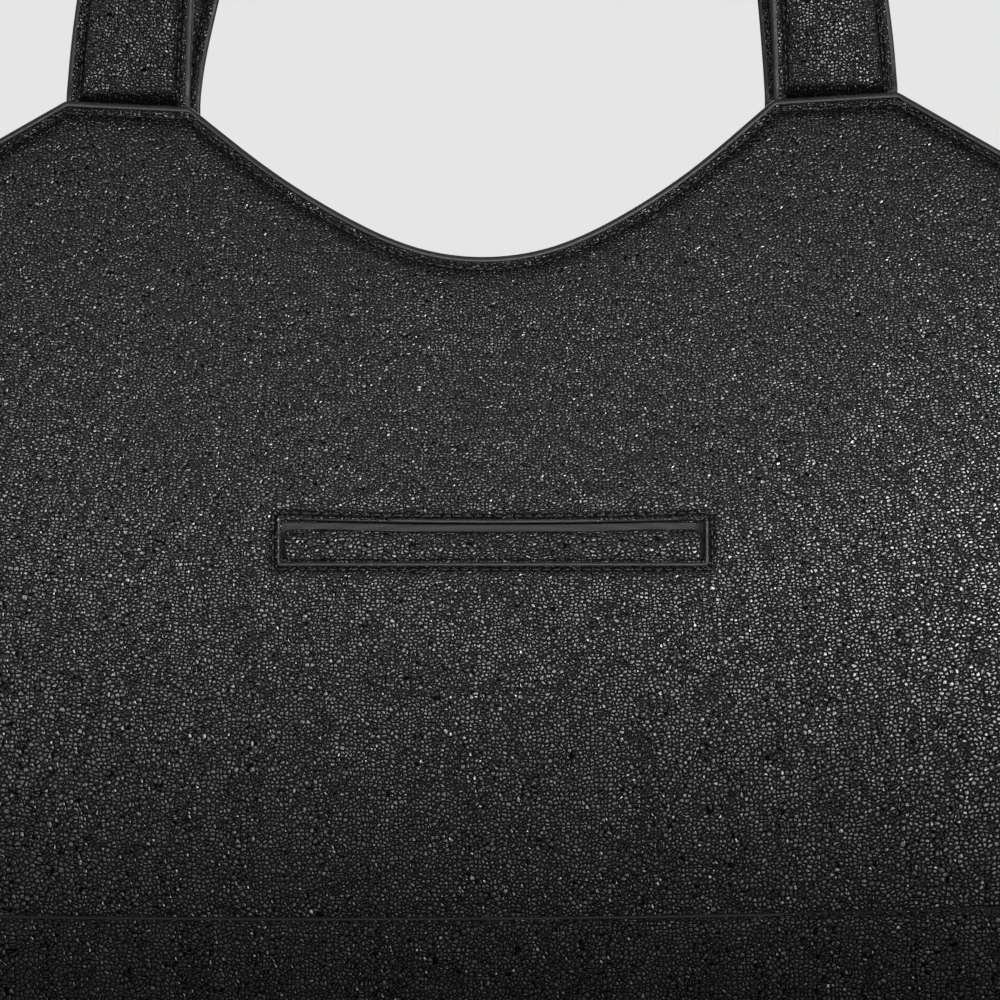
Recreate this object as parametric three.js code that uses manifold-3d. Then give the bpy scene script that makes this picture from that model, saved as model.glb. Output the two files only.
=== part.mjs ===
// Diaper bag: a leather tote with a scooped mouth, two padded strap handles and a welt pocket.
// Millimetres, +Z up, +Y to the rear. The origin is on the floor, under the middle of the bag.
// Every wall is worked out from one body shape, and a layer is that shape moved inwards.

import * as THREE from "three";
import { mergeVertices } from "three/addons/utils/BufferGeometryUtils.js";
import Module from "manifold-3d";

const wasm = await Module();
wasm.setup();

const { abs, asin, cos, max, min, PI, sin, sqrt, tan } = Math;
const degrees = (angle) => (angle * PI) / 180;
const mix = (a, b, t) => a + (b - a) * t;
const clamp01 = (t) => min(1, max(0, t));
const smooth = (t) => clamp01(t) * clamp01(t) * (3 - 2 * clamp01(t));
const steps = (count) => Array.from({ length: count + 1 }, (_, i) => i / count);

// ---- Driving dimensions ----
const GAP = 0.3; // left between pieces that touch

// Outline of the front and rear panels, as seen from the front
const STRAP_WIDTH = 40;
const SHOULDER_CENTRE = 114; // where a strap's middle meets the top edge
const SHOULDER_Z = 334;
const SHOULDER_TILT = 1; // the outer end of a shoulder stands higher, and the inner end lower
const SCOOP_FLOOR_RADIUS = 76;
const SCOOP_FLOOR_ANGLE = degrees(26);
const SCOOP_SIDE_RADIUS = 215;
const SCOOP_SIDE_ANGLE = degrees(40);
const WING_SLOPE = degrees(30.4);
const HALF_WIDTH_TOP = 228;
const HALF_WIDTH_BASE = 200;

// Depth, front to back
const BASE_DEPTH = 82; // half of it, at the middle of the base
const BASE_SEAM_DEPTH = 74; // half of it, at the side seams
const MOUTH_DEPTH = 37;
const MOUTH_SEAM_DEPTH = 40;
const BULGE = 16; // how far a filled panel crowns out, half way up
const CROWN_POWER = 2.4; // how flat a panel is from side to side
const GUSSET_FOLD = 24; // how far the gusset tucks in at the mouth
const GUSSET_POWER = 1.6; // how round that fold is

// Base
const FOOT_HEIGHT = 6;
const TRAY_THICKNESS = 2;
const TRAY_Z = 72; // top edge of the leather tray at the middle of the front
const TRAY_EDGE_RISE = 2.4; // that edge rises towards the sides
const TRAY_EDGE_SPAN = 154;

// Layers, inwards from the outer face
const PANEL = [0, 2];
const STRAP_TAB = [2.3, 5.3];
const FACING = [5.6, 7.2];
const LINING = [5.6, 6.6];
const FACING_HEIGHT = 38;
const BINDING_HEIGHT = 1.8; // of the bound edge round the mouth

// Welt pocket in the front panel
const WINDOW_WIDTH = 134;
const WINDOW_BOTTOM_Z = 185.6;
const WINDOW_HEIGHT = 13.4;
const WELT_HEIGHT = 9.8;
const POUCH_DEPTH = 105;
const POUCH_WIDTH = 150;
const PATCH_MARGIN = 11; // reach of the backing patch round the window
const PATCH = [2.4, 3.2]; // depths of its two faces behind the panel's
const POUCH_FRONT = [3.8, 4.2];
const POUCH_REAR = [4.7, 5.1];
const LIP_SWELL = 1.6; // how far the padded lip bulges out
const LIP_BACK_SWELL = 0.5;

// Open pockets on the lining
const SLIP_POCKET = { half: 85, low: 78, high: 168, belly: 14, bindingHeight: 6 };
const BOTTLE_POCKET = { half: 50, high: 146, belly: 36, bandHeight: 9 };
const POCKET_CLOTH = 0.8;

// Handles
const HANDLE_RISE = 246; // from the root of the strap to the top of its middle
const HANDLE_LEAN = 0.045; // the legs close up by this much per millimetre of height
const HANDLE_ROOT = 3; // the strap is free from this far above the shoulder
const STRAP_HALF = STRAP_WIDTH / 2;
const STRAP_LEATHER = 1.1; // height of a strap's face beside its padding
const STRAP_INSIDE = 0.15; // half the gap between its two leathers
const PAD_HALF = 11.5;
const PAD_HEIGHT = 3.5;
const TAB_DEPTH = 32; // how far a sewn end reaches below the shoulder

// Zip pocket in the rear lining
const ZIP_HALF = 92;
const ZIP_Z = 226;
const ZIP_GAP = 0.7; // half the gap between the two rows of teeth
const TAPE_WIDTH = 9;
const TAPE_THICKNESS = 0.6;
const TOOTH_WIDTH = 1.6;
const ZIP_STANDOFF = 2.4; // from the lining's inner face to the tape
const SLIDER_TRAVEL = 164;
const PIN_RADIUS = 0.7;
const EYE_RADIUS = 2; // of the pull's eye round that pin
const EYE_BORE_RADIUS = 1.1;

// Side rings
const RING_Z = 262;
const RING_WIRE_RADIUS = 1.8;
const LOOP_WIDTH = 19;
const LOOP_INNER_RADIUS = 2.3;
const LOOP_OUTER_RADIUS = 3.9;

// ---- Materials ----
const finish = (color, roughness, metalness = 0) =>
  new THREE.MeshStandardMaterial({ color, roughness, metalness });
const LEATHER = finish(0x17181a, 0.55);
const LINING_CLOTH = finish(0x8d857a, 0.9);
const ELASTIC = finish(0x6f685f, 0.85);
const FOAM = finish(0x3a3a3a, 0.95);
const BOARD = finish(0x2a2a2c, 0.8);
const GUNMETAL = finish(0x4a4b4f, 0.3, 1);
const ZIP_TAPE = finish(0x6a645c, 0.85);
const ZIP_TEETH = finish(0x55565a, 0.35, 1);

// ---- Body shape ----
const INNER_CORNER = SHOULDER_CENTRE - STRAP_HALF;
const OUTER_CORNER = SHOULDER_CENTRE + STRAP_HALF;
const FLOOR_END = SCOOP_FLOOR_RADIUS * sin(SCOOP_FLOOR_ANGLE);
const SIDE_END = FLOOR_END + SCOOP_SIDE_RADIUS * (sin(SCOOP_SIDE_ANGLE) - sin(SCOOP_FLOOR_ANGLE));
const FLOOR_DEPTH = SCOOP_FLOOR_RADIUS * (1 - cos(SCOOP_FLOOR_ANGLE));
const SIDE_DEPTH = FLOOR_DEPTH + SCOOP_SIDE_RADIUS * (cos(SCOOP_FLOOR_ANGLE) - cos(SCOOP_SIDE_ANGLE));
const SCOOP_DEPTH = SIDE_DEPTH + (INNER_CORNER - SIDE_END) * tan(SCOOP_SIDE_ANGLE);
const SCOOP_Z = SHOULDER_Z - SHOULDER_TILT - SCOOP_DEPTH;
const WING_Z = SHOULDER_Z + SHOULDER_TILT - (HALF_WIDTH_TOP - OUTER_CORNER) * tan(WING_SLOPE);

// Height of the top edge: two arcs and a straight for the scoop, then the shoulder, then the wing.
function topEdge(x) {
  const a = abs(x);
  if (a <= FLOOR_END) return SCOOP_Z + SCOOP_FLOOR_RADIUS - sqrt(SCOOP_FLOOR_RADIUS ** 2 - a * a);
  if (a <= SIDE_END) {
    const angle = asin((a - FLOOR_END) / SCOOP_SIDE_RADIUS + sin(SCOOP_FLOOR_ANGLE));
    return SCOOP_Z + FLOOR_DEPTH + SCOOP_SIDE_RADIUS * (cos(SCOOP_FLOOR_ANGLE) - cos(angle));
  }
  if (a <= INNER_CORNER) return SCOOP_Z + SIDE_DEPTH + (a - SIDE_END) * tan(SCOOP_SIDE_ANGLE);
  if (a <= OUTER_CORNER) return SHOULDER_Z + (SHOULDER_TILT * (a - SHOULDER_CENTRE)) / STRAP_HALF;
  return SHOULDER_Z + SHOULDER_TILT - (a - OUTER_CORNER) * tan(WING_SLOPE);
}

const climb = (z) => clamp01((z - TRAY_Z) / (SHOULDER_Z - TRAY_Z));
const halfWidth = (z) => mix(HALF_WIDTH_BASE, HALF_WIDTH_TOP, clamp01(z / WING_Z));
const crownDepth = (z) => mix(BASE_DEPTH, MOUTH_DEPTH, climb(z)) + BULGE * sin(PI * climb(z));
const seamDepth = (z) => mix(BASE_SEAM_DEPTH, MOUTH_SEAM_DEPTH, climb(z));

// Half depth of the body at u, from -1 at the left seam to 1 at the right one
const wallDepth = (u, z) => mix(crownDepth(z), seamDepth(z), abs(u) ** CROWN_POWER);
const depthAt = (x, z) => wallDepth(x / halfWidth(z), z);
const leanAt = (z) => Math.atan((crownDepth(z - 5) - crownDepth(z + 5)) / 10);

// Half width of the folded gusset at v, from -1 at the front seam to 1 at the rear one
function gussetWidth(v, z) {
  const fold = GUSSET_FOLD * smooth((z - TRAY_Z) / (WING_Z - TRAY_Z));
  return halfWidth(z) - fold * (1 - abs(v) ** GUSSET_POWER);
}

// ---- Solids ----
function signedVolume(points, faces) {
  return faces.reduce((sum, [a, b, c]) => {
    const normal = new THREE.Vector3().crossVectors(points[b], points[c]);
    return sum + points[a].dot(normal) / 6;
  }, 0);
}

function geometryFrom(points, faces) {
  const facing = signedVolume(points, faces) < 0 ? faces.map(([a, b, c]) => [a, c, b]) : faces;
  const geometry = new THREE.BufferGeometry();
  geometry.setAttribute(
    "position",
    new THREE.Float32BufferAttribute(points.flatMap((p) => [p.x, p.y, p.z]), 3),
  );
  geometry.setIndex(facing.flat());
  return geometry;
}

const quad = (a, b, c, d) => [[a, b, c], [a, c, d]];

// A sheet with thickness: face(u, v) and back(u, v) are its two sides.
function sheet(us, vs, face, back) {
  const columns = us.length;
  const rows = vs.length;
  const points = [face, back].flatMap((side) => us.flatMap((u) => vs.map((v) => side(u, v))));
  const at = (side, i, j) => (side * columns + i) * rows + j;
  const faces = [];
  for (let i = 0; i < columns - 1; i++)
    for (let j = 0; j < rows - 1; j++) {
      faces.push(...quad(at(0, i, j), at(0, i, j + 1), at(0, i + 1, j + 1), at(0, i + 1, j)));
      faces.push(...quad(at(1, i, j), at(1, i + 1, j), at(1, i + 1, j + 1), at(1, i, j + 1)));
    }
  for (let j = 0; j < rows - 1; j++) {
    faces.push(...quad(at(0, 0, j), at(1, 0, j), at(1, 0, j + 1), at(0, 0, j + 1)));
    const last = columns - 1;
    faces.push(...quad(at(0, last, j), at(0, last, j + 1), at(1, last, j + 1), at(1, last, j)));
  }
  for (let i = 0; i < columns - 1; i++) {
    faces.push(...quad(at(0, i, 0), at(0, i + 1, 0), at(1, i + 1, 0), at(1, i, 0)));
    const top = rows - 1;
    faces.push(...quad(at(0, i, top), at(1, i, top), at(1, i + 1, top), at(0, i + 1, top)));
  }
  return geometryFrom(points, faces);
}

// A solid through a row of rings. The outline gives the flat shape of its two end caps; with no
// outline the last ring runs on into the first.
function loft(rings, outline) {
  const count = rings[0].length;
  const spans = outline ? rings.length - 1 : rings.length;
  const faces = [];
  for (let r = 0; r < spans; r++)
    for (let k = 0; k < count; k++) {
      const next = (k + 1) % count;
      const [a, b] = [r * count, ((r + 1) % rings.length) * count];
      faces.push(...quad(a + k, a + next, b + next, b + k));
    }
  if (outline) {
    const caps = THREE.ShapeUtils.triangulateShape(outline, []);
    const turn = THREE.ShapeUtils.isClockWise(outline) ? 1 : -1;
    const last = (rings.length - 1) * count;
    caps.forEach(([a, b, c]) => {
      faces.push(turn > 0 ? [a, b, c] : [a, c, b]);
      faces.push(turn > 0 ? [last + a, last + c, last + b] : [last + a, last + b, last + c]);
    });
  }
  return geometryFrom(rings.flat(), faces);
}

function toManifold(geometry) {
  const bare = new THREE.BufferGeometry();
  bare.setAttribute("position", geometry.getAttribute("position").clone());
  if (geometry.index) bare.setIndex(geometry.index.clone());
  const merged = mergeVertices(bare, 1e-3);
  return new wasm.Manifold(
    new wasm.Mesh({
      numProp: 3,
      vertProperties: merged.attributes.position.array,
      triVerts: new Uint32Array(merged.index.array),
    }),
  );
}

function fromManifold(solid) {
  const { vertProperties, triVerts } = solid.getMesh();
  const geometry = new THREE.BufferGeometry();
  geometry.setAttribute("position", new THREE.BufferAttribute(vertProperties, 3));
  geometry.setIndex(new THREE.BufferAttribute(triVerts, 1));
  return geometry;
}

const cut = (a, b) => fromManifold(toManifold(a).subtract(toManifold(b)));
const join = (...all) => fromManifold(all.map(toManifold).reduce((a, b) => a.add(b)));

const CUT_THROUGH = 30; // long enough to pass through any wall

const box = (size, centre) => new THREE.BoxGeometry(...size).translate(...centre);
const lathe = (profile, segments = 20) =>
  new THREE.LatheGeometry(profile.map(([r, h]) => new THREE.Vector2(r, h)), segments).rotateX(PI / 2);

const bag = new THREE.Group();

function add(name, geometry, material, parent = bag) {
  const mesh = new THREE.Mesh(geometry, material);
  mesh.name = name;
  parent.add(mesh);
  return mesh;
}

// ---- Outer walls ----
const OUTLINE_STATIONS = [0, 16, FLOOR_END, 48, 63, SIDE_END, INNER_CORNER, SHOULDER_CENTRE];
OUTLINE_STATIONS.push(OUTER_CORNER, 181, HALF_WIDTH_TOP);
const PANEL_COLUMNS = [...OUTLINE_STATIONS.slice(1).map((x) => -x).reverse(), ...OUTLINE_STATIONS];
const PANEL_US = PANEL_COLUMNS.map((x) => x / HALF_WIDTH_TOP);
const PANEL_BOTTOM = FOOT_HEIGHT + TRAY_THICKNESS + GAP;
const SEAM_INSET = PANEL[1] + 0.8; // from a panel's face to the edge of a gusset
const PANEL_DROP = BINDING_HEIGHT + GAP; // a panel stops under the bound edge
const FRONT_AND_REAR = [["front", -1], ["rear", 1]];
const LEFT_AND_RIGHT = [["left", -1], ["right", 1]];

// Side is -1 for the front wall and 1 for the rear one. Depth is measured inwards from the face.
function wallPoint(side, u, z, depth) {
  return new THREE.Vector3(u * halfWidth(z), side * (wallDepth(u, z) - depth), z);
}

// A layer of the front or rear wall between two heights, which may vary along the wall
function wallLayer(side, us, rows, [outer, inner], low, high, reach = () => 1) {
  const face = (depth) => (u, v) => {
    const z = mix(low(u), high(u), v);
    return wallPoint(side, u * reach(z), z, typeof depth === "number" ? depth : depth(u));
  };
  return sheet(us, steps(rows), face(outer), face(inner));
}

// A layer of a gusset, reaching to a given distance short of the side seams
function gussetLayer(side, rows, [outer, inner], low, high, inset) {
  const face = (depth) => (v, t) => {
    const z = mix(low, high, t);
    const y = v * (seamDepth(z) - inset);
    const share = y / (seamDepth(z) - SEAM_INSET);
    return new THREE.Vector3(side * (gussetWidth(share, z) - depth), y, z);
  };
  const across = steps(8).map((t) => 2 * t - 1);
  return sheet(across, steps(rows), face(outer), face(inner));
}

const edgeAt = (u) => topEdge(u * HALF_WIDTH_TOP);

function windowCutter() {
  const z = WINDOW_BOTTOM_Z + WINDOW_HEIGHT / 2;
  return box([WINDOW_WIDTH, CUT_THROUGH, WINDOW_HEIGHT], [0, -depthAt(0, z), z]);
}

function outerWalls() {
  const top = (u) => edgeAt(u) - PANEL_DROP;
  const panel = (side) => wallLayer(side, PANEL_US, 10, PANEL, () => PANEL_BOTTOM, top);
  add("front_panel", cut(panel(-1), windowCutter()), LEATHER);
  add("rear_panel", panel(1), LEATHER);
  LEFT_AND_RIGHT.forEach(([name, side]) => {
    const high = WING_Z - PANEL_DROP;
    const gusset = gussetLayer(side, 8, PANEL, PANEL_BOTTOM, high, SEAM_INSET);
    add(`${name}_gusset`, gusset, LEATHER);
  });
}

// The bound edge covers panel and facing, and only the panel where a strap comes up between them.
function bindings() {
  const step = 0.6 / HALF_WIDTH_TOP;
  const corners = [INNER_CORNER, OUTER_CORNER].map((x) => x / HALF_WIDTH_TOP);
  const doubled = PANEL_US.flatMap((u) => {
    if (abs(abs(u) - corners[0]) < 1e-6) return [u - Math.sign(u) * step, u].sort((a, b) => a - b);
    if (abs(abs(u) - corners[1]) < 1e-6) return [u, u + Math.sign(u) * step].sort((a, b) => a - b);
    return [u];
  });
  const inShoulder = (u) => abs(u) > corners[0] - step / 2 && abs(u) < corners[1] + step / 2;
  const inner = (u) => (inShoulder(u) ? PANEL[1] : FACING[1]);
  const low = (u) => edgeAt(u) - BINDING_HEIGHT;
  FRONT_AND_REAR.forEach(([name, side]) => {
    add(`${name}_edge_binding`, wallLayer(side, doubled, 1, [0, inner], low, edgeAt), LEATHER);
  });
  LEFT_AND_RIGHT.forEach(([name, side]) => {
    const layer = [PANEL[0], FACING[1]];
    const binding = gussetLayer(side, 1, layer, WING_Z - BINDING_HEIGHT, WING_Z, FACING[1] + GAP);
    add(`${name}_edge_binding`, binding, LEATHER);
  });
}

// ---- Base: leather tray, stiffening board, feet ----
const FLOOR_TOP = FOOT_HEIGHT + TRAY_THICKNESS;
const BOARD_Z = FLOOR_TOP + GAP;
const BOARD_THICKNESS = 2;
const FOOT_X = 168;
const FOOT_Y = 56;
const FOOT_TOP = FOOT_HEIGHT - GAP;
const FOOT_PROFILE = [[0, 0], [3.2, 0.25], [5.6, 1.2], [6.9, 2.9], [7.2, 4.6], [7, FOOT_TOP], [0, FOOT_TOP]];

const trayEdge = (x) => TRAY_Z + TRAY_EDGE_RISE * (x / TRAY_EDGE_SPAN) ** 2;

// A ring round the body at a height, outset from the outer face
function bodyRing(height, outset) {
  const halfRing = (side) =>
    PANEL_US.map((share) => {
      const u = -side * share;
      const z = height(u * HALF_WIDTH_BASE);
      return new THREE.Vector3(u * (halfWidth(z) + outset), side * (wallDepth(u, z) + outset), z);
    });
  return [...halfRing(-1), ...halfRing(1)];
}

const flatOutline = (ring) => ring.map((p) => new THREE.Vector2(p.x, p.y));

// A flat piece that fills the body's outline, inset from it
function floorPlate(z, thickness, inset) {
  const rings = [z, z + thickness].map((level) => bodyRing(() => level, -inset));
  return loft(rings, flatOutline(rings[0]));
}

function base() {
  const outside = GAP + TRAY_THICKNESS;
  const rings = [
    bodyRing(() => FLOOR_TOP, GAP),
    bodyRing(() => TRAY_Z - 0.5, GAP),
    bodyRing(trayEdge, GAP),
    bodyRing(trayEdge, outside),
    bodyRing(() => TRAY_Z - 0.5, outside),
    bodyRing(() => FOOT_HEIGHT, outside),
  ];
  add("base_tray", loft(rings, flatOutline(rings[0])), LEATHER);
  add("base_board", floorPlate(BOARD_Z, BOARD_THICKNESS, 7), BOARD);
  FRONT_AND_REAR.forEach(([depthName, depthSide]) => {
    LEFT_AND_RIGHT.forEach(([name, side]) => {
      const place = [side * FOOT_X, depthSide * FOOT_Y];
      add(`foot_${depthName}_${name}`, lathe(FOOT_PROFILE, 16).translate(...place, 0), GUNMETAL);
    });
  });
}

// ---- Facings and lining ----
const LINING_BOTTOM = BOARD_Z + BOARD_THICKNESS + GAP;
const FACING_LOW_Z = WING_Z - FACING_HEIGHT;
const SIDE_LINER_INSET = LINING[1] + GAP + 0.4;

// How far out a front or rear liner reaches, to close its corner with the side liner
function linerReach(z) {
  const level = min(z, WING_Z);
  const share = (seamDepth(level) - LINING[1]) / (seamDepth(level) - SEAM_INSET);
  return (gussetWidth(share, level) - LINING[0]) / halfWidth(level);
}

const LINER_REACH = linerReach(WING_Z);
const LINER_INNER_US = PANEL_US.filter((u) => abs(u) < 0.9).map((u) => u / LINER_REACH);
const LINER_US = [-1, ...LINER_INNER_US, 1];
const ZIP_WINDOW_HEIGHT = 15;
const zipWindow = () => box([2 * ZIP_HALF, CUT_THROUGH, ZIP_WINDOW_HEIGHT], [0, depthAt(0, ZIP_Z), ZIP_Z]);

function facingsAndLining() {
  const facingLow = (u) => edgeAt(u * LINER_REACH) - FACING_HEIGHT;
  const facingTop = (u) => edgeAt(u * LINER_REACH) - PANEL_DROP;
  const liningTop = (u) => facingLow(u) - GAP;
  FRONT_AND_REAR.forEach(([name, side]) => {
    const facing = wallLayer(side, LINER_US, 2, FACING, facingLow, facingTop, linerReach);
    add(`${name}_facing`, facing, LEATHER);
    const bottom = () => LINING_BOTTOM;
    const lining = wallLayer(side, LINER_US, 6, LINING, bottom, liningTop, linerReach);
    add(`${name}_lining`, side < 0 ? lining : cut(lining, zipWindow()), LINING_CLOTH);
  });
  LEFT_AND_RIGHT.forEach(([name, side]) => {
    const high = WING_Z - PANEL_DROP;
    const facing = gussetLayer(side, 2, FACING, FACING_LOW_Z, high, SIDE_LINER_INSET + 0.6);
    add(`${name}_facing`, facing, LEATHER);
    const top = FACING_LOW_Z - GAP;
    const lining = gussetLayer(side, 5, LINING, LINING_BOTTOM, top, SIDE_LINER_INSET);
    add(`${name}_lining`, lining, LINING_CLOTH);
  });
  add("floor_lining", floorPlate(LINING_BOTTOM, 1, 7.6), LINING_CLOTH);
}

// ---- Pockets ----
const spread = (half, count) => steps(count).map((t) => half * (2 * t - 1));

// A flat-topped layer of a wall, given by its half width in millimetres
function wallPatch(side, half, columns, rows, [outer, inner], low, high) {
  const face = (depth) => (x, t) => {
    const z = mix(low, high, t);
    const inwards = typeof depth === "number" ? depth : depth(x / half, t);
    return new THREE.Vector3(x, side * (depthAt(x, z) - inwards), z);
  };
  return sheet(spread(half, columns), steps(rows), face(outer), face(inner));
}

// Welt pocket in the front panel: a backing patch, the padded lip, and the pouch behind
function weltPocket() {
  const half = WINDOW_WIDTH / 2;
  const top = WINDOW_BOTTOM_Z + WINDOW_HEIGHT + PATCH_MARGIN;
  const low = WINDOW_BOTTOM_Z - PATCH_MARGIN;
  const patch = wallPatch(-1, half + PATCH_MARGIN, 8, 3, PATCH, low, top);
  add("pocket_patch", cut(patch, windowCutter()), LEATHER);
  const swell = (from, by) => (_, t) => from + by * sin(PI * t) ** 0.6;
  const lipLow = WINDOW_BOTTOM_Z + GAP;
  const lipLayer = [swell(2.1, -LIP_SWELL), swell(3.1, LIP_BACK_SWELL)];
  add("pocket_lip", wallPatch(-1, half - GAP, 8, 6, lipLayer, lipLow, lipLow + WELT_HEIGHT), LEATHER);
  const pouchLow = WINDOW_BOTTOM_Z - POUCH_DEPTH;
  const pouchHalf = POUCH_WIDTH / 2;
  const front = wallPatch(-1, pouchHalf, 6, 6, POUCH_FRONT, pouchLow, WINDOW_BOTTOM_Z - GAP);
  add("pocket_pouch_front", front, LINING_CLOTH);
  const rear = wallPatch(-1, pouchHalf, 6, 8, POUCH_REAR, pouchLow, top);
  add("pocket_pouch_rear", rear, LINING_CLOTH);
}

const POCKET_CLEARANCE = 1; // between a pocket's edge and the lining it is sewn to

// Slip pocket: a bellied sheet on the front lining, bound along its mouth
function slipPocket() {
  const { half, low, high, belly, bindingHeight } = SLIP_POCKET;
  const bow = (from) => (s, t) => {
    return LINING[1] + POCKET_CLEARANCE + from + belly * t ** 0.8 * (1 - s * s) ** 0.7;
  };
  const shell = wallPatch(-1, half, 8, 4, [bow(0), bow(POCKET_CLOTH)], low, high);
  add("slip_pocket", shell, LINING_CLOTH);
  const rim = (from) => (s) => bow(from)(s, 1);
  const top = high + bindingHeight;
  const binding = wallPatch(-1, half, 8, 1, [rim(0), rim(1.4)], high + GAP, top);
  add("slip_pocket_binding", binding, LEATHER);
}

// Bottle pockets: bellied sheets on the side linings, drawn in by an elastic band at the mouth
function bottlePockets() {
  const { half, high, belly, bandHeight } = BOTTLE_POCKET;
  const low = LINING_BOTTOM + 3;
  const place = (side, z, s, bow) => {
    const y = s * half;
    const share = y / (seamDepth(z) - SEAM_INSET);
    const x = gussetWidth(share, z) - LINING[1] - POCKET_CLEARANCE - bow;
    return new THREE.Vector3(side * x, y, z);
  };
  const bulge = (s, t) => belly * (0.25 + 0.75 * sin(PI * mix(0.1, 0.72, t))) * (1 - s * s) ** 0.8;
  LEFT_AND_RIGHT.forEach(([name, side]) => {
    const wall = (thick) => (s, t) => place(side, mix(low, high, t), s, bulge(s, t) + thick);
    add(`bottle_pocket_${name}`, sheet(spread(1, 8), steps(4), wall(0), wall(POCKET_CLOTH)), LINING_CLOTH);
    const band = (thick) => (s, t) => {
      return place(side, mix(high + GAP, high + bandHeight, t), s, bulge(s, 1) + thick);
    };
    const elastic = sheet(spread(1, 8), steps(1), band(-0.2), band(1.3));
    add(`bottle_elastic_${name}`, elastic, ELASTIC);
  });
}

// ---- Zip pocket in the rear lining ----
const ZIP_PLACE = new THREE.Group();
ZIP_PLACE.position.set(0, depthAt(ZIP_HALF, ZIP_Z) - LINING[1] - ZIP_STANDOFF, ZIP_Z);
ZIP_PLACE.rotation.x = leanAt(ZIP_Z);
const SLIDER_X = -SLIDER_TRAVEL / 2;
const PIN_DEPTH = 5.3; // of the slider's pin in front of the tape

// The body's two plates and the post between them, two ears, and the pin that carries the pull
function slider() {
  const plates = [box([10, 1.3, 9], [0, -2.35, 0]), box([9, 0.7, 6], [0, 1.35, 0])];
  const post = box([4, 3.2, ZIP_GAP], [0, -0.4, 0]);
  const ears = [-3.3, 3.3].map((x) => box([1.2, 4.2, 2.6], [x, -4.5, 0]));
  const pin = new THREE.CylinderGeometry(PIN_RADIUS, PIN_RADIUS, 6.2, 10).rotateZ(PI / 2);
  return join(...plates, post, ...ears, pin.translate(0, -PIN_DEPTH, 0)).translate(SLIDER_X, 0, 0);
}

function zipPull() {
  const eye = new THREE.CylinderGeometry(EYE_RADIUS, EYE_RADIUS, 4.4, 16).rotateZ(PI / 2);
  const bore = new THREE.CylinderGeometry(EYE_BORE_RADIUS, EYE_BORE_RADIUS, 8, 12).rotateZ(PI / 2);
  const neck = box([4.4, 1.2, 6], [0, 0, -4]);
  const plate = box([8, 1.2, 20], [0, 0, -16]);
  return cut(join(eye, neck, plate), bore);
}

function zipPocket() {
  bag.add(ZIP_PLACE);
  [["upper", 1], ["lower", -1]].forEach(([name, side]) => {
    const tapeMiddle = [0, TAPE_THICKNESS / 2, side * (ZIP_GAP + TAPE_WIDTH / 2)];
    const tape = box([2 * ZIP_HALF + 8, TAPE_THICKNESS, TAPE_WIDTH], tapeMiddle);
    add(`zip_tape_${name}`, tape, ZIP_TAPE, ZIP_PLACE);
    const teethMiddle = [0, -0.8, side * (ZIP_GAP + TOOTH_WIDTH / 2)];
    const teeth = box([2 * ZIP_HALF - 6, 1, TOOTH_WIDTH], teethMiddle);
    add(`zip_teeth_${name}`, teeth, ZIP_TEETH, ZIP_PLACE);
  });
  LEFT_AND_RIGHT.forEach(([name, side]) => {
    const stop = box([2.4, 1.6, 6], [side * (ZIP_HALF - 1.2), -1.1, 0]);
    add(`zip_stop_${name}`, stop, ZIP_TEETH, ZIP_PLACE);
  });
  add("zip_slider", slider(), ZIP_TEETH, ZIP_PLACE);
  ZIP_PLACE.updateMatrix();
  const pin = new THREE.Vector3(SLIDER_X, -PIN_DEPTH, 0).applyMatrix4(ZIP_PLACE.matrix);
  add("zip_pull", zipPull().translate(pin.x, pin.y, pin.z), ZIP_TEETH);
  const pouch = (layer, high) => wallPatch(1, 100, 8, 6, layer, 128, high);
  add("zip_pouch_front", pouch([4.7, 5.1], ZIP_Z - 9), LINING_CLOTH);
  add("zip_pouch_rear", pouch([2.6, 3], ZIP_Z + 12), LINING_CLOTH);
}

// ---- Handles ----
const HANDLE_Z = SHOULDER_Z + HANDLE_ROOT;
const HANDLE_MIDDLE = STRAP_TAB[0] + 3.3; // depth of the strap's middle behind the panel's face
const HANDLE_ENDS = [0, 0.014, 0.04];
const HANDLE_ANGLES = [...HANDLE_ENDS, ...steps(22).slice(1, -1).map((t) => PI * t)];
HANDLE_ANGLES.push(...HANDLE_ENDS.map((a) => PI - a).reverse());
// Sections across the strap, as seen along it. The padding swells the middle of both leathers.
const PAD_RIGHT = [[PAD_HALF, 2.8], [PAD_HALF + 3, 1.3], [STRAP_HALF, STRAP_LEATHER]];
PAD_RIGHT.push([STRAP_HALF, STRAP_INSIDE]);
const INSIDE_RIGHT = [[14, STRAP_INSIDE], [11, 1.7]];
const flipped = (points) => points.map(([w, n]) => [-w, n]).reverse();
const FACE_SECTION = [...flipped(PAD_RIGHT), [0, PAD_HEIGHT], ...PAD_RIGHT];
FACE_SECTION.push(...INSIDE_RIGHT, [0, 2.1], ...flipped(INSIDE_RIGHT));
const CORE_SECTION = [[-9, 0], [-8, 0.6], [0, 1], [8, 0.6], [9, 0], [8, -0.6], [0, -1], [-8, -0.6]];

// The arch at angle a, from 0 at the right shoulder to PI at the left one. The strap faces out of
// the bag at its roots, and turns to face up at the top, as a strap over a hand does.
function handleFrame(side, a) {
  const rise = HANDLE_RISE * sin(a);
  const x = SHOULDER_CENTRE * cos(a) - HANDLE_LEAN * rise * cos(a);
  const y = side * (depthAt(SHOULDER_CENTRE, SHOULDER_Z) - HANDLE_MIDDLE);
  const tangent = new THREE.Vector3(-SHOULDER_CENTRE * sin(a), 0, HANDLE_RISE * cos(a)).normalize();
  const outward = new THREE.Vector3(tangent.z, 0, -tangent.x);
  const turn = (PI / 2) * sin(a) ** 0.8;
  const normal = new THREE.Vector3(0, side * cos(turn), 0).addScaledVector(outward, sin(turn));
  const across = new THREE.Vector3().crossVectors(tangent, normal);
  return { point: new THREE.Vector3(x, y, HANDLE_Z + rise), normal, across };
}

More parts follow.
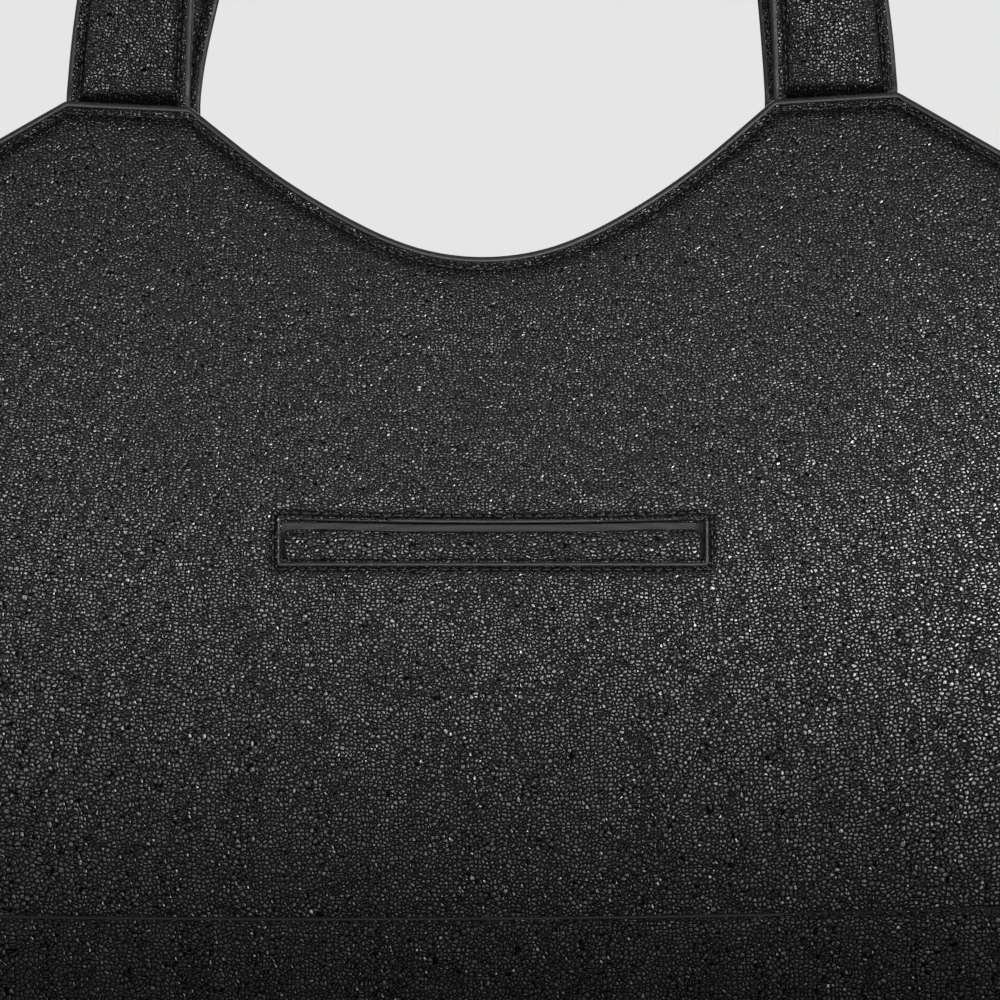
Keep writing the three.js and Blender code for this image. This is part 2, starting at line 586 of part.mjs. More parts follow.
// The leathers lie flat on each other at the roots, and the padding fills out above them.
function strapSolid(side, angles, section, facing) {
  const rings = angles.map((a) => {
    const { point, normal, across } = handleFrame(side, a);
    const fill = mix(0.05, 1, smooth((HANDLE_RISE * sin(a)) / 10));
    return section.map(([w, n]) => {
      const flat = n > 1 ? STRAP_LEATHER : STRAP_INSIDE;
      const height = facing * (abs(n) > 1.2 ? mix(flat, n, fill) : n);
      return point.clone().addScaledVector(across, w).addScaledVector(normal, height);
    });
  });
  return loft(rings, section.map(([w, n]) => new THREE.Vector2(w, n)));
}

function handles() {
  FRONT_AND_REAR.forEach(([name, side]) => {
    const core = HANDLE_ANGLES.slice(2, -2);
    add(`${name}_handle_face`, strapSolid(side, HANDLE_ANGLES, FACE_SECTION, 1), LEATHER);
    add(`${name}_handle_core`, strapSolid(side, core, CORE_SECTION, 1), FOAM);
    add(`${name}_handle_backing`, strapSolid(side, HANDLE_ANGLES, FACE_SECTION, -1), LEATHER);
    LEFT_AND_RIGHT.forEach(([end, way]) => {
      const us = steps(3).map((t) => (way * mix(INNER_CORNER, OUTER_CORNER, t)) / HALF_WIDTH_TOP);
      const tabLow = () => SHOULDER_Z - TAB_DEPTH;
      const tab = wallLayer(side, us, 2, STRAP_TAB, tabLow, () => SHOULDER_Z + 1);
      add(`${name}_handle_tab_${end}`, tab, LEATHER);
    });
  });
}

// ---- Magnetic closure, on the two facings under the scoop ----
const MAGNET_Z = SCOOP_Z - 18;
const MAGNET_FEMALE = [[0, 0], [9, 0], [9, 2.2], [7.4, 3], [3.2, 3], [3.2, 2], [0, 2]];
const MAGNET_MALE = [[0, 0], [9, 0], [9, 1.8], [2.4, 2], [2.4, 4.2], [0, 4.2]];

function closure() {
  [["front", -1, MAGNET_MALE], ["rear", 1, MAGNET_FEMALE]].forEach(([name, side, profile]) => {
    const place = new THREE.Group();
    place.position.set(0, side * (depthAt(0, MAGNET_Z) - FACING[1] - 0.5), MAGNET_Z);
    place.rotation.x = side * (PI / 2 + leanAt(MAGNET_Z));
    bag.add(place);
    add(`magnet_snap_${name}`, lathe(profile, 20), GUNMETAL, place);
  });
}

// ---- Side rings, each hanging from a leather loop sewn to a gusset ----
const LOOP_BACK = 5.2; // from the ring's bar to the back of the loop's tail
const RING_X = gussetWidth(0.25, RING_Z) + GAP + LOOP_BACK;
const RING_PATH = [[-10, 0], [10, 0], [13.5, -2.2], [14.6, -6], [13, -12], [8.5, -17], [3, -19]];
RING_PATH.push([-3, -19], [-8.5, -17], [-13, -12], [-14.6, -6], [-13.5, -2.2]);

function ring() {
  const at = (i) => new THREE.Vector3(0, ...RING_PATH[(i + RING_PATH.length) % RING_PATH.length]);
  const rings = RING_PATH.map((_, i) => {
    const along = at(i + 1).sub(at(i - 1)).normalize();
    const outward = new THREE.Vector3(0, along.z, -along.y);
    return steps(8).slice(1).map((t) => {
      const [c, s] = [cos(2 * PI * t), sin(2 * PI * t)].map((k) => k * RING_WIRE_RADIUS);
      return at(i).addScaledVector(outward, c).add(new THREE.Vector3(s, 0, 0));
    });
  });
  return loft(rings);
}

function ringLoop(side) {
  const eye = new THREE.CylinderGeometry(LOOP_OUTER_RADIUS, LOOP_OUTER_RADIUS, LOOP_WIDTH, 16);
  const bore = new THREE.CylinderGeometry(LOOP_INNER_RADIUS, LOOP_INNER_RADIUS, 30, 16);
  const thick = LOOP_BACK - LOOP_INNER_RADIUS - 0.1;
  const tail = box([thick, LOOP_WIDTH, 30], [side * (thick / 2 - LOOP_BACK), 0, -15]);
  return cut(join(eye, tail), bore);
}

function sideRings() {
  LEFT_AND_RIGHT.forEach(([name, side]) => {
    const place = [side * RING_X, 0, RING_Z];
    add(`ring_${name}`, ring().translate(...place), GUNMETAL);
    add(`ring_loop_${name}`, ringLoop(side).translate(...place), LEATHER);
  });
}

// ---- Assembly ----
outerWalls();
bindings();
base();
facingsAndLining();
weltPocket();
slipPocket();
bottlePockets();
zipPocket();
handles();
closure();
sideRings();

export default bag;
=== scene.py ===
# %% [markdown]
# # A leather diaper bag
# The bag's sizes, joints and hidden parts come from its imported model. This lesson gives that model
# its looks: leather that swells and folds, painted edges, thread, padding, cloth and metal.
# Lengths are worked out in millimetres, and only the last step of each piece turns them to metres.

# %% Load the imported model
import math
import bmesh
import bpy
import numpy as np
from mathutils import Matrix, Vector, noise


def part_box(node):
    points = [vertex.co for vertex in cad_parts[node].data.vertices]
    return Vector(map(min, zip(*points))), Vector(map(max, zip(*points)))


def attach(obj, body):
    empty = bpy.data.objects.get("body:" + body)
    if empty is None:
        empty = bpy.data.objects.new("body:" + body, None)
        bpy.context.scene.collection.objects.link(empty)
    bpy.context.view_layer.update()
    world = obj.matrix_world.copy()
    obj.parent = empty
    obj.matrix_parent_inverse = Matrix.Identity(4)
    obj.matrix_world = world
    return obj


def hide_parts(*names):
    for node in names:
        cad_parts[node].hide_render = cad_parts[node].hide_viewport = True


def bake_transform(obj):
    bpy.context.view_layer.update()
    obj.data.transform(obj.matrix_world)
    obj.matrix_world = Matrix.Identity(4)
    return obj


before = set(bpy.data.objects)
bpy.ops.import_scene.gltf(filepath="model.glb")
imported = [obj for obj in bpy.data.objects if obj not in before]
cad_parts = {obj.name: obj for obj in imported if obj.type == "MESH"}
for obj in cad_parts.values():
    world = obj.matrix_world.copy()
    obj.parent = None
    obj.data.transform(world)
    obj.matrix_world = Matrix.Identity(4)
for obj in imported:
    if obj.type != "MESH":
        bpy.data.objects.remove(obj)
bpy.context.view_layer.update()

MM = 0.001

# %% [markdown]
# ## Camera
# A long lens from about two metres keeps the upright edges of the bag parallel. The camera looks
# level at the middle of the front, close enough to fill the picture with leather and stitches.

# %% Camera
STRAP_FRONT_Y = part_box("front_handle_tab_left")[0][1]
VIEW_WIDTH = 0.3205
CAMERA_DISTANCE = 2.0
CAMERA_X = 0.0058
CAMERA_Z = 0.2052
SENSOR = 36.0

camera_data = bpy.data.cameras.new("camera")
camera_data.sensor_width = SENSOR
camera_data.lens = SENSOR * CAMERA_DISTANCE / VIEW_WIDTH
camera_data.clip_end = 50
camera = bpy.data.objects.new("camera", camera_data)
bpy.context.collection.objects.link(camera)
camera.location = (CAMERA_X, STRAP_FRONT_Y - CAMERA_DISTANCE, CAMERA_Z)
camera.rotation_euler = (math.radians(90), 0, 0)
bpy.context.scene.camera = camera
bpy.context.scene.view_settings.view_transform = "Standard"
print("lens", round(camera_data.lens, 1), "mm")

# %% [markdown]
# ## One body shape
# Every wall of the bag is a layer of one body, so the shape is written down once, as the solid
# parts have it: a top edge made of two arcs, a shoulder and a slope, walls that lean in towards the
# mouth and crown outwards, and gussets that fold inwards. A layer is that body moved inwards.

# %% The body's outline and depth
HALF_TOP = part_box("front_edge_binding")[1][0] / MM
SHOULDER_CENTRE = 114.0
STRAP_HALF = 20.0
SHOULDER_Z = 334.0
SHOULDER_TILT = 1.0
HALF_BASE = 200.0
TRAY_Z = 72.0
INNER_CORNER = SHOULDER_CENTRE - STRAP_HALF
OUTER_CORNER = SHOULDER_CENTRE + STRAP_HALF
FLOOR_RADIUS, FLOOR_ANGLE = 76.0, math.radians(26)
SIDE_RADIUS, SIDE_ANGLE = 215.0, math.radians(40)
WING_SLOPE = math.tan(math.radians(30.4))
FLOOR_END = FLOOR_RADIUS * math.sin(FLOOR_ANGLE)
SIDE_END = FLOOR_END + SIDE_RADIUS * (math.sin(SIDE_ANGLE) - math.sin(FLOOR_ANGLE))
FLOOR_DROP = FLOOR_RADIUS * (1 - math.cos(FLOOR_ANGLE))
SIDE_DROP = FLOOR_DROP + SIDE_RADIUS * (math.cos(FLOOR_ANGLE) - math.cos(SIDE_ANGLE))
SCOOP_DROP = SIDE_DROP + (INNER_CORNER - SIDE_END) * math.tan(SIDE_ANGLE)
SCOOP_Z = SHOULDER_Z - SHOULDER_TILT - SCOOP_DROP
CROWN_LOW, CROWN_HIGH, CROWN_SWELL = 82.0, 37.0, 16.0    # half depths at the middle of a wall
SEAM_LOW, SEAM_HIGH = 74.0, 40.0                         # half depths at the side seams
WALL_POWER = 2.4
GUSSET_FOLD, GUSSET_POWER = 24.0, 1.6
WALLS = (("front", -1), ("rear", 1))
SIDES = (("left", -1), ("right", 1))
WING_Z = SHOULDER_Z + SHOULDER_TILT - (HALF_TOP - OUTER_CORNER) * WING_SLOPE


def mix(a, b, t):
    return a + (b - a) * t


def even(low, high, count):
    return [mix(low, high, k / (count - 1)) for k in range(count)]


def smooth(t):
    t = min(1.0, max(0.0, t))
    return t * t * (3 - 2 * t)


def top_edge(x):
    """Height of the top edge at x."""
    a = abs(x)
    if a <= FLOOR_END:
        return SCOOP_Z + FLOOR_RADIUS - math.sqrt(FLOOR_RADIUS**2 - a * a)
    if a <= SIDE_END:
        angle = math.asin((a - FLOOR_END) / SIDE_RADIUS + math.sin(FLOOR_ANGLE))
        return SCOOP_Z + FLOOR_DROP + SIDE_RADIUS * (math.cos(FLOOR_ANGLE) - math.cos(angle))
    if a <= INNER_CORNER:
        return SCOOP_Z + SIDE_DROP + (a - SIDE_END) * math.tan(SIDE_ANGLE)
    if a <= OUTER_CORNER:
        return SHOULDER_Z + SHOULDER_TILT * (a - SHOULDER_CENTRE) / STRAP_HALF
    return SHOULDER_Z + SHOULDER_TILT - (a - OUTER_CORNER) * WING_SLOPE


def edge_slope(x):
    return top_edge(x + 0.5) - top_edge(x - 0.5)


def edge_stretch(x):
    """How much longer a step square to the top edge is when it is measured upright."""
    return math.sqrt(1 + min(1.2, abs(edge_slope(x))) ** 2)


def half_width(z):
    return mix(HALF_BASE, HALF_TOP, min(1.0, max(0.0, z / WING_Z)))


def climb(z):
    return min(1.0, max(0.0, (z - TRAY_Z) / (SHOULDER_Z - TRAY_Z)))


def crown_depth(z):
    return mix(CROWN_LOW, CROWN_HIGH, climb(z)) + CROWN_SWELL * math.sin(math.pi * climb(z))


def seam_depth(z):
    return mix(SEAM_LOW, SEAM_HIGH, climb(z))


def wall_depth(x, z):
    """Half the body's depth at x and z, to the outer face."""
    u = min(1.0, abs(x) / half_width(z))
    return mix(crown_depth(z), seam_depth(z), u**WALL_POWER)


def gusset_width(v, z):
    """Half the body's width on the folded gusset, at v from -1 to 1 across it."""
    fold = GUSSET_FOLD * smooth((z - TRAY_Z) / (WING_Z - TRAY_Z))
    return half_width(z) - fold * (1 - min(1.0, abs(v)) ** GUSSET_POWER)


print("scoop at", round(SCOOP_Z, 1), "mm, side seams end at", round(WING_Z, 1), "mm")

# %% [markdown]
# A soft bag never stands quite level or straight. Its upper part slumps a little to one side and
# its middle sways a little to the other, the same for every piece, so that nothing opens up
# between them. The stiff pocket pushes the front out, and the leather over it sinks in.

# %% Slump, sway and relief
SLUMP = 1.4
SWAY = 3.6
SWAY_AT_SCOOP = 1.3
SWAY_START, SWAY_TURN, SWAY_BAND = 80, 215, 60    # heights where it starts and where it gets less
SWAY_HALF = 175
SLUMP_START, SLUMP_BAND = 205, 85
LEAN_LEFT, LEAN_RIGHT = -0.95, 1.08
POCKET_PUSH = (2.2, 184, 30, 105)      # amount, height of its middle, half height, half width
HOLLOW = (-1.6, 246, 24, 85)


def sway(x, z):
    high = smooth((z - SWAY_TURN) / SWAY_BAND)
    amount = mix(SWAY, SWAY_AT_SCOOP, high) * smooth((z - SWAY_START) / SWAY_BAND)
    width = mix(SWAY_HALF, INNER_CORNER, high)
    return amount * (1 - min(1.0, abs(x) / width) ** 4) ** 2


def place(x, y, z):
    """A point of the bag in metres, with the slump and the sway."""
    lean = min(LEAN_RIGHT, max(LEAN_LEFT, x / SHOULDER_CENTRE))
    drop = SLUMP * lean * smooth((z - SLUMP_START) / SLUMP_BAND)
    return ((x + sway(x, z)) * MM, y * MM, (z + drop) * MM)


def bell(distance):
    return math.exp(-distance * distance)


def relief(side, x, z):
    """How far the front stands out of the plain body."""
    if side > 0:
        return 0.0
    bumps = (POCKET_PUSH, HOLLOW)
    return sum(amount * bell((z - at) / high) * bell(x / wide) for amount, at, high, wide in bumps)


def wall_point(side, x, z, depth):
    return place(x, side * (wall_depth(x, z) + relief(side, x, z) - depth), z)


# %% [markdown]
# ## Making pieces
# A piece starts as a coarse cage: a grid of points, or rings round a path. Its modifiers finish it.
# Each piece is told which body it rides on, which finish it has and which solids it stands for.

# %% Helpers for pieces
def linked(name, data):
    thing = bpy.data.objects.new(name, data)
    bpy.context.collection.objects.link(thing)
    return thing


def shade_smooth(mesh):
    mesh.polygons.foreach_set("use_smooth", [True] * len(mesh.polygons))


def closed_up(mesh):
    """Joins points that meet and turns the faces outwards."""
    shell = bmesh.new()
    shell.from_mesh(mesh)
    bmesh.ops.remove_doubles(shell, verts=shell.verts, dist=1e-6)
    bmesh.ops.recalc_face_normals(shell, faces=shell.faces)
    shell.to_mesh(mesh)
    shell.free()
    shade_smooth(mesh)


def fit(piece, body, replaces=()):
    """Says which body a piece rides on and the solids it stands for."""
    if body:
        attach(piece, body)
    if replaces:
        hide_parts(*replaces)
    return piece


def make_piece(name, points, faces, body="bag", replaces=(), painted_shade=()):
    """painted_shade is each point's painted shade, from 0 to 1, kept as the fold attribute for materials that
    darken with it.
    """
    mesh = bpy.data.meshes.new(name)
    mesh.from_pydata([tuple(p) for p in points], [], faces)
    if painted_shade:
        mesh.attributes.new("fold", "FLOAT", "POINT").data.foreach_set("value", painted_shade)
    closed_up(mesh)
    return fit(linked(name, mesh), body, replaces)


def grid_faces(columns, rows, keep=lambda i, j: True):
    """Quads of a grid whose points run down each column in turn."""
    faces = []
    for i in range(columns - 1):
        for j in range(rows - 1):
            if keep(i, j):
                a = i * rows + j
                faces.append((a, a + rows, a + rows + 1, a + 1))
    return faces


def ring_faces(rings, count):
    """Quads that join rings of count points, and flat caps on the two ends."""
    faces = []
    for a in range(0, (rings - 1) * count, count):
        for k in range(count):
            n = (k + 1) % count
            faces.append((a + k, a + n, a + count + n, a + count + k))
    faces.append(tuple(range(count)))
    faces.append(tuple(range((rings - 1) * count, rings * count))[::-1])
    return faces


def subdivide(piece, levels=2):
    modifier = piece.modifiers.new("smooth", "SUBSURF")
    modifier.levels = modifier.render_levels = levels


RIM_CREASE = 0.9


def thicken(piece, thickness, offset=-1.0, rim_slot=0):
    modifier = piece.modifiers.new("thickness", "SOLIDIFY")
    modifier.thickness = thickness * MM
    modifier.offset = offset
    modifier.use_even_offset = True
    modifier.edge_crease_inner = modifier.edge_crease_outer = modifier.edge_crease_rim = RIM_CREASE
    modifier.material_offset_rim = rim_slot


def mirrored(values):
    """0 and some positive values, with the same values to the left of 0."""
    return [-v for v in values[:0:-1]] + list(values)


# %% [markdown]
# ## Shader maths
# Materials are easier to read when their maths is written as Python. This class wraps one socket:
# an expression on it adds the Math nodes, and its node method makes any other kind of node.

# %% A socket that does sums
class Wire:
    def __init__(self, tree, socket=None):
        self.tree, self.socket = tree, socket

    def node(self, kind, output=0, settings=(), **inputs):
        """Adds a node. An underscore in an input's name stands for a space."""
        made = self.tree.nodes.new("ShaderNode" + kind)
        for key, value in dict(settings).items():
            setattr(made, key, value)
        for key, value in inputs.items():
            self.feed(made.inputs[key.replace("_", " ")], value)
        return Wire(self.tree, made.outputs[output])

    def feed(self, socket, value):
        if isinstance(value, Wire):
            self.tree.links.new(value.socket, socket)
        else:
            socket.default_value = value

    def maths(self, operation, *values, kind="Math", output=0):
        made = self.tree.nodes.new("ShaderNode" + kind)
        made.operation = operation
        for socket, value in zip(made.inputs, values):
            self.feed(socket, value)
        return Wire(self.tree, made.outputs[output])

    def vector(self, operation, *values, output="Vector"):
        return self.maths(operation, *values, kind="VectorMath", output=output)

    def __add__(self, other):
        return self.maths("ADD", self, other)

    def __sub__(self, other):
        return self.maths("SUBTRACT", self, other)

    def __rsub__(self, other):
        return self.maths("SUBTRACT", other, self)

    def __mul__(self, other):
        return self.maths("MULTIPLY", self, other)

    def __pow__(self, other):
        return self.maths("POWER", self, other)

    __radd__ = __add__
    __rmul__ = __mul__

    def creases(self, unshaded_share):
        """Mixes a matte black under the material's shader as painted shade, which shows where unshaded_share
        is low.
        """
        nodes = self.tree.nodes
        matte = self.node("BsdfDiffuse", output="BSDF", Color=(0.0006, 0.0006, 0.0007, 1))
        blend = nodes.new("ShaderNodeMixShader")
        self.feed(blend.inputs[0], unshaded_share)
        self.tree.links.new(matte.socket, blend.inputs[1])
        self.tree.links.new(nodes["Principled BSDF"].outputs[0], blend.inputs[2])
        self.tree.links.new(blend.outputs[0], nodes["Material Output"].inputs["Surface"])

    def ramp(self, low, high, to_low=0.0, to_high=1.0):
        """A smooth step from low to high."""
        limits = {"From_Min": low, "From_Max": high, "To_Min": to_low, "To_Max": to_high}
        settings = {"interpolation_type": "SMOOTHSTEP"}
        return self.node("MapRange", settings=settings, Value=self, **limits)

    def shades(self, dark, light):
        """A colour between two, chosen by this value."""
        made = self.tree.nodes.new("ShaderNodeMix")
        made.data_type = "RGBA"
        self.feed(made.inputs["Factor"], self)
        colours = [socket for socket in made.inputs if socket.type == "RGBA"]
        colours[0].default_value = (*dark, 1)
        colours[1].default_value = (*light, 1)
        return Wire(self.tree, [socket for socket in made.outputs if socket.type == "RGBA"][0])


def new_material(name, **constants):
    """A material, the socket of its Object coordinates, and a function that ends it."""
    material = bpy.data.materials.new(name)
    material.use_nodes = True
    tree = material.node_tree
    shader = tree.nodes["Principled BSDF"]
    for key, value in constants.items():
        shader.inputs[key.replace("_", " ")].default_value = value
    start = Wire(tree)
    place_at = start.node("TexCoord", output="Object")

    def finish(**links):
        for key, value in links.items():
            start.feed(shader.inputs[key.replace("_", " ")], value)
        return material

    return place_at, finish


# %% [markdown]
# ## Pebbled leather
# The grain of tumbled leather is a net of fine creases round small rounded pebbles. A Voronoi
# texture gives both: its distance to the edge draws the creases, and each cell's own random colour
# tilts its pebble a little, so that every pebble catches the light in its own way. Light hardly
# gets into a crease or a fold, so a matte black is mixed in as painted shade along the creases, and
# wherever the piece's own fold attribute paints shade into a groove. The base colour is also a little
# darker in the creases, which is painted shade as well.

# %% Pebbled leather
GRAIN_TILT = 0.54
GRAIN_DARK, GRAIN_LIGHT = (0.0008, 0.0008, 0.0009), (0.0062, 0.0064, 0.007)
GRAIN_WANDER = 0.0022     # how far a noise moves the cells, in metres


def leather(name, pebble, depth=0.21, roughness=0.33):
    """pebble is the size of a cell and depth that of its creases, in millimetres."""
    where, finish = new_material(name, Specular_IOR_Level=0.5)
    drift = where.node("TexNoise", output="Color", Vector=where, Scale=140.0, Detail=2.0)
    bent = where.vector("MULTIPLY_ADD", drift, (GRAIN_WANDER,) * 3, where)
    across = where.node("SeparateXYZ", output="X", Vector=where)
    height_up = Wire(where.tree, across.socket.node.outputs["Z"])
    shrink = 1.18 + height_up.ramp(0.12, 0.32) * 0.2 - across * across * 3.0
    drawn = where.vector("SCALE", bent)
    where.feed(drawn.socket.node.inputs["Scale"], shrink)
    cells = {"Vector": drawn, "Scale": 1000 / pebble, "Randomness": 0.78}
    gap = where.node("TexVoronoi", settings={"feature": "DISTANCE_TO_EDGE"}, **cells)
    colour = where.node("TexVoronoi", output="Color", settings={"feature": "F1"}, **cells)
    centre = Wire(where.tree, colour.socket.node.outputs["Position"])
    arm = where.vector("SUBTRACT", drawn, centre)
    lean = where.vector("SUBTRACT", colour, (0.5, 0.5, 0.5))
    tilt = where.vector("DOT_PRODUCT", arm, lean, output="Value")
    dome = gap.ramp(0.0, 0.28) + gap * 0.6
    fine = where.node("TexNoise", Vector=where, Scale=1900.0, Detail=2.0, Roughness=0.6)
    broad = where.node("TexNoise", Vector=where, Scale=240.0, Detail=2.0)
    height = dome + tilt * (GRAIN_TILT * 2000 / pebble) + fine * 0.06 + broad * 0.3
    bump = where.node("Bump", Height=height, Strength=1.0, Distance=depth * MM)
    patches = where.node("TexNoise", Vector=where, Scale=60.0, Detail=4.0)
    pebbles = gap.ramp(0.02, 0.16)
    # Painted shade: the pebbles term darkens the base colour in the creases; the patches and the fine noise
    # are random tone.
    tone_and_crease_shade = pebbles * 0.8 + patches * 0.5 + fine * 0.3 - 0.4
    rough = roughness + (1 - pebbles) * 0.45 + fine * 0.1 - 0.05
    colours = tone_and_crease_shade.ramp(0.0, 1.0).shades(GRAIN_DARK, GRAIN_LIGHT)
    material = finish(Base_Color=colours, Roughness=rough, Normal=bump)
    # The fold attribute is painted shade that the panels and straps put in their seam grooves and under
    # padding; with the crease mask it sets where the matte black painted shade shows.
    fold = where.node("Attribute", output="Fac", settings={"attribute_name": "fold"})
    where.creases(gap.ramp(0.02, 0.13, 0.03, 1.0) * (1 - fold))
    return material


LEATHER = leather("pebbled_leather", pebble=1.55)
STRAP_LEATHER = leather("strap_leather", pebble=1.45, roughness=0.36)
FINE_LEATHER = leather("fine_leather", pebble=1.4, depth=0.17)
LIP_LEATHER = leather("stretched_leather", pebble=1.85, depth=0.24)
print("leather", len(LEATHER.node_tree.nodes), "nodes")

# %% [markdown]
# ## The other finishes
# Cut leather edges are sealed with a thick paint, which dries smooth and a little glossy. Thread is
# fine and twisted. The lining is a plain weave, and the metal is dark plated and polished.

# %% Painted edge and thread
def edge_paint():
    where, finish = new_material("edge_paint", Specular_IOR_Level=0.28)
    ripple = where.node("TexNoise", Vector=where, Scale=420.0, Detail=3.0)
    bump = where.node("Bump", Height=ripple, Strength=0.8, Distance=0.0002)
    return finish(
        Base_Color=ripple.shades((0.003, 0.0031, 0.0034), (0.009, 0.0093, 0.01)),
        Roughness=ripple.ramp(0.2, 0.8, 0.46, 0.62),
        Normal=bump,
    )


def thread():
    where, finish = new_material("thread", Specular_IOR_Level=0.25)
    twist = where.node("TexNoise", Vector=where, Scale=3200.0, Detail=1.0)
    bump = where.node("Bump", Height=twist, Strength=0.7, Distance=0.0001)
    return finish(
        Base_Color=twist.shades((0.003, 0.003, 0.0033), (0.007, 0.0072, 0.0078)),
        Roughness=twist.ramp(0.2, 0.8, 0.42, 0.6),
        Normal=bump,
    )


EDGE_PAINT = edge_paint()
THREAD = thread()


# %% Cloth and metal
def woven(name, dark, light, pitch=0.55, sheen=0.15):
    where, finish = new_material(name, Sheen_Weight=sheen, Sheen_Roughness=0.5)
    waves = []
    for direction in ("X", "Y", "Z"):
        settings = {"wave_type": "BANDS", "bands_direction": direction}
        scale = {"Scale": 0.314 / (pitch * MM), "Distortion": 0.4, "Detail": 1.0}
        waves.append(where.node("TexWave", output="Fac", settings=settings, Vector=where, **scale))
    weave = waves[0] * 0.34 + waves[1] * 0.33 + waves[2] * 0.33
    slub = where.node("TexNoise", Vector=where, Scale=60.0, Detail=4.0)
    bump = where.node("Bump", Height=weave + slub * 0.3, Strength=0.6, Distance=0.00015)
    return finish(
        Base_Color=(weave * 0.7 + slub * 0.3).shades(dark, light),
        Roughness=weave.ramp(0.0, 1.0, 0.95, 0.78),
        Normal=bump,
    )


def metal(name, colour, roughness):
    where, finish = new_material(name, Metallic=1.0)
    smear = where.node("TexNoise", Vector=where, Scale=120.0, Detail=5.0)
    dull = tuple(c * 0.8 for c in colour)
    return finish(
        Base_Color=smear.shades(dull, colour),
        Roughness=smear.ramp(0.25, 0.75, roughness * 0.75, roughness * 1.3),
    )


LINING = woven("lining_cloth", (0.17, 0.155, 0.135), (0.3, 0.28, 0.25))
TAPE = woven("zip_tape", (0.1, 0.092, 0.082), (0.19, 0.175, 0.155), pitch=0.4)
# Near-black pouch cloth: painted shade for the inside of the welt pocket, seen through its slit.
POUCH_SHADE_CLOTH = woven("pouch_shade_cloth", (0.0008, 0.0008, 0.0009), (0.002, 0.002, 0.0022), sheen=0.0)
ELASTIC = woven("elastic", (0.1, 0.092, 0.082), (0.2, 0.185, 0.165), pitch=0.9)
GUNMETAL = metal("gunmetal", (0.2, 0.2, 0.215), 0.24)
ZIP_METAL = metal("zip_metal", (0.26, 0.26, 0.275), 0.3)


def paint(piece, *materials):
    for material in materials:
        piece.data.materials.append(material)
    return piece


# %% [markdown]
# ## Thread
# A stitch is a short bead of thread that dives into the leather at both ends. One mesh holds a
# whole row of them, spaced evenly along its seam.

# %% A row of stitches
STITCH_PITCH = 3.2
STITCH_LENGTH = 2.35
STITCH_RADIUS = 0.3
# share of the length, share of the radius, and lift, of each ring of a stitch
STITCH_RINGS = ((-0.5, 0.3, -0.4), (-0.4, 0.85, -0.12), (0.0, 1.0, 0.1), (0.4, 0.85, -0.12), (0.5, 0.3, -0.4))
STITCH_SIDES = 6


def stitch_row(name, route, body="bag"):
    """route is a list of (point, outward) in metres along a seam."""
    points = np.array([p for p, _ in route])
    normals = np.array([n for _, n in route])
    steps = np.linalg.norm(np.diff(points, axis=0), axis=1)
    along = np.concatenate([[0], np.cumsum(steps)])
    count = max(1, int(along[-1] / (STITCH_PITCH * MM)))
    vertices, faces = [], []
    for k in range(count):
        middle = (k + 0.5) * along[-1] / count
        at = [np.interp(middle, along, points[:, axis]) for axis in range(3)]
        ends = [[np.interp(middle + d, along, points[:, axis]) for axis in range(3)] for d in (-MM, MM)]
        ahead = (Vector(ends[1]) - Vector(ends[0])).normalized()
        up = Vector([np.interp(middle, along, normals[:, axis]) for axis in range(3)]).normalized()
        across = ahead.cross(up).normalized()
        first = len(vertices)
        for share, width, lift in STITCH_RINGS:
            centre = Vector(at) + ahead * (share * STITCH_LENGTH * MM) + up * (lift * STITCH_RADIUS * MM)
            for side in range(STITCH_SIDES):
                angle = 2 * math.pi * side / STITCH_SIDES
                reach = STITCH_RADIUS * width * MM
                vertices.append(centre + across * (math.cos(angle) * reach) + up * (math.sin(angle) * reach))
        rings = ring_faces(len(STITCH_RINGS), STITCH_SIDES)
        faces += [tuple(first + i for i in face) for face in rings]
    return paint(make_piece(name, vertices, faces, body), THREAD)


# %% [markdown]
# ## Front and rear panels
# Each panel is one sheet of leather. Its cage has rows that follow the top edge, where the seam
# pulls a groove into it, and rows and columns that close up round the pocket window, where the
# leather is turned, pressed and sewn. Subdivision rounds the rest.

# %% Panel cage
WINDOW_HALF = 67.0
WINDOW_LOW, WINDOW_HIGH = 185.6, 199.0
PANEL_LOW = 8.3
WINDOW_COLUMNS = [60, 65, 67, 67.5, 68.2, 68.8, 69.5, 70.6, 72.5, 76, 82]
EDGE_COLUMNS = [92.5, 94, 95.5, 114, 132.5, 134, 135.5, 155, 185, 214, 226, HALF_TOP]
PANEL_COLUMNS = mirrored([0, 16, 32, 48] + WINDOW_COLUMNS + EDGE_COLUMNS)
BELOW_WINDOW = [PANEL_LOW, 40, 66, 72, 78, 95, 115, 135, 155, 168, 176, 180.1, 182, 183.1, 183.8, 184.4,
                185.1]
ABOVE_WINDOW = [199.5, 200.2, 200.8, 201.5, 202.6, 204.5, 208, 214]
PANEL_ROWS = BELOW_WINDOW + [WINDOW_LOW, 188.5, 192.3, 196, WINDOW_HIGH] + ABOVE_WINDOW
EDGE_ROWS = [18, 12, 8.5, 6.2, 5.0, 4.2, 3.5, 2.8, 2.2, 1.4]
FREE_ROWS = 3
GROOVE = 3.85
STRAIGHT = 80.0

# How far the leather stands out, by distance from the top edge and from the window
EDGE_PROFILE = (
    (1.4, -0.9), (2.2, -0.75), (2.8, -0.6), (3.5, -1.2), (4.2, -1.25), (5.0, -1.0), (6.2, -0.6),
    (8.5, -0.05), (18, 0.3), (34, 0.0),
)
FRAME_PROFILE = (
    (0.0, -0.2), (0.5, 0.35), (1.2, 0.15), (1.8, -0.9), (2.5, -1.0), (3.6, -0.3), (5.5, 0.15), (15.0, 0.0),
)
RIM_WIDTH = 1.0
PANEL_THICKNESS = 1.9
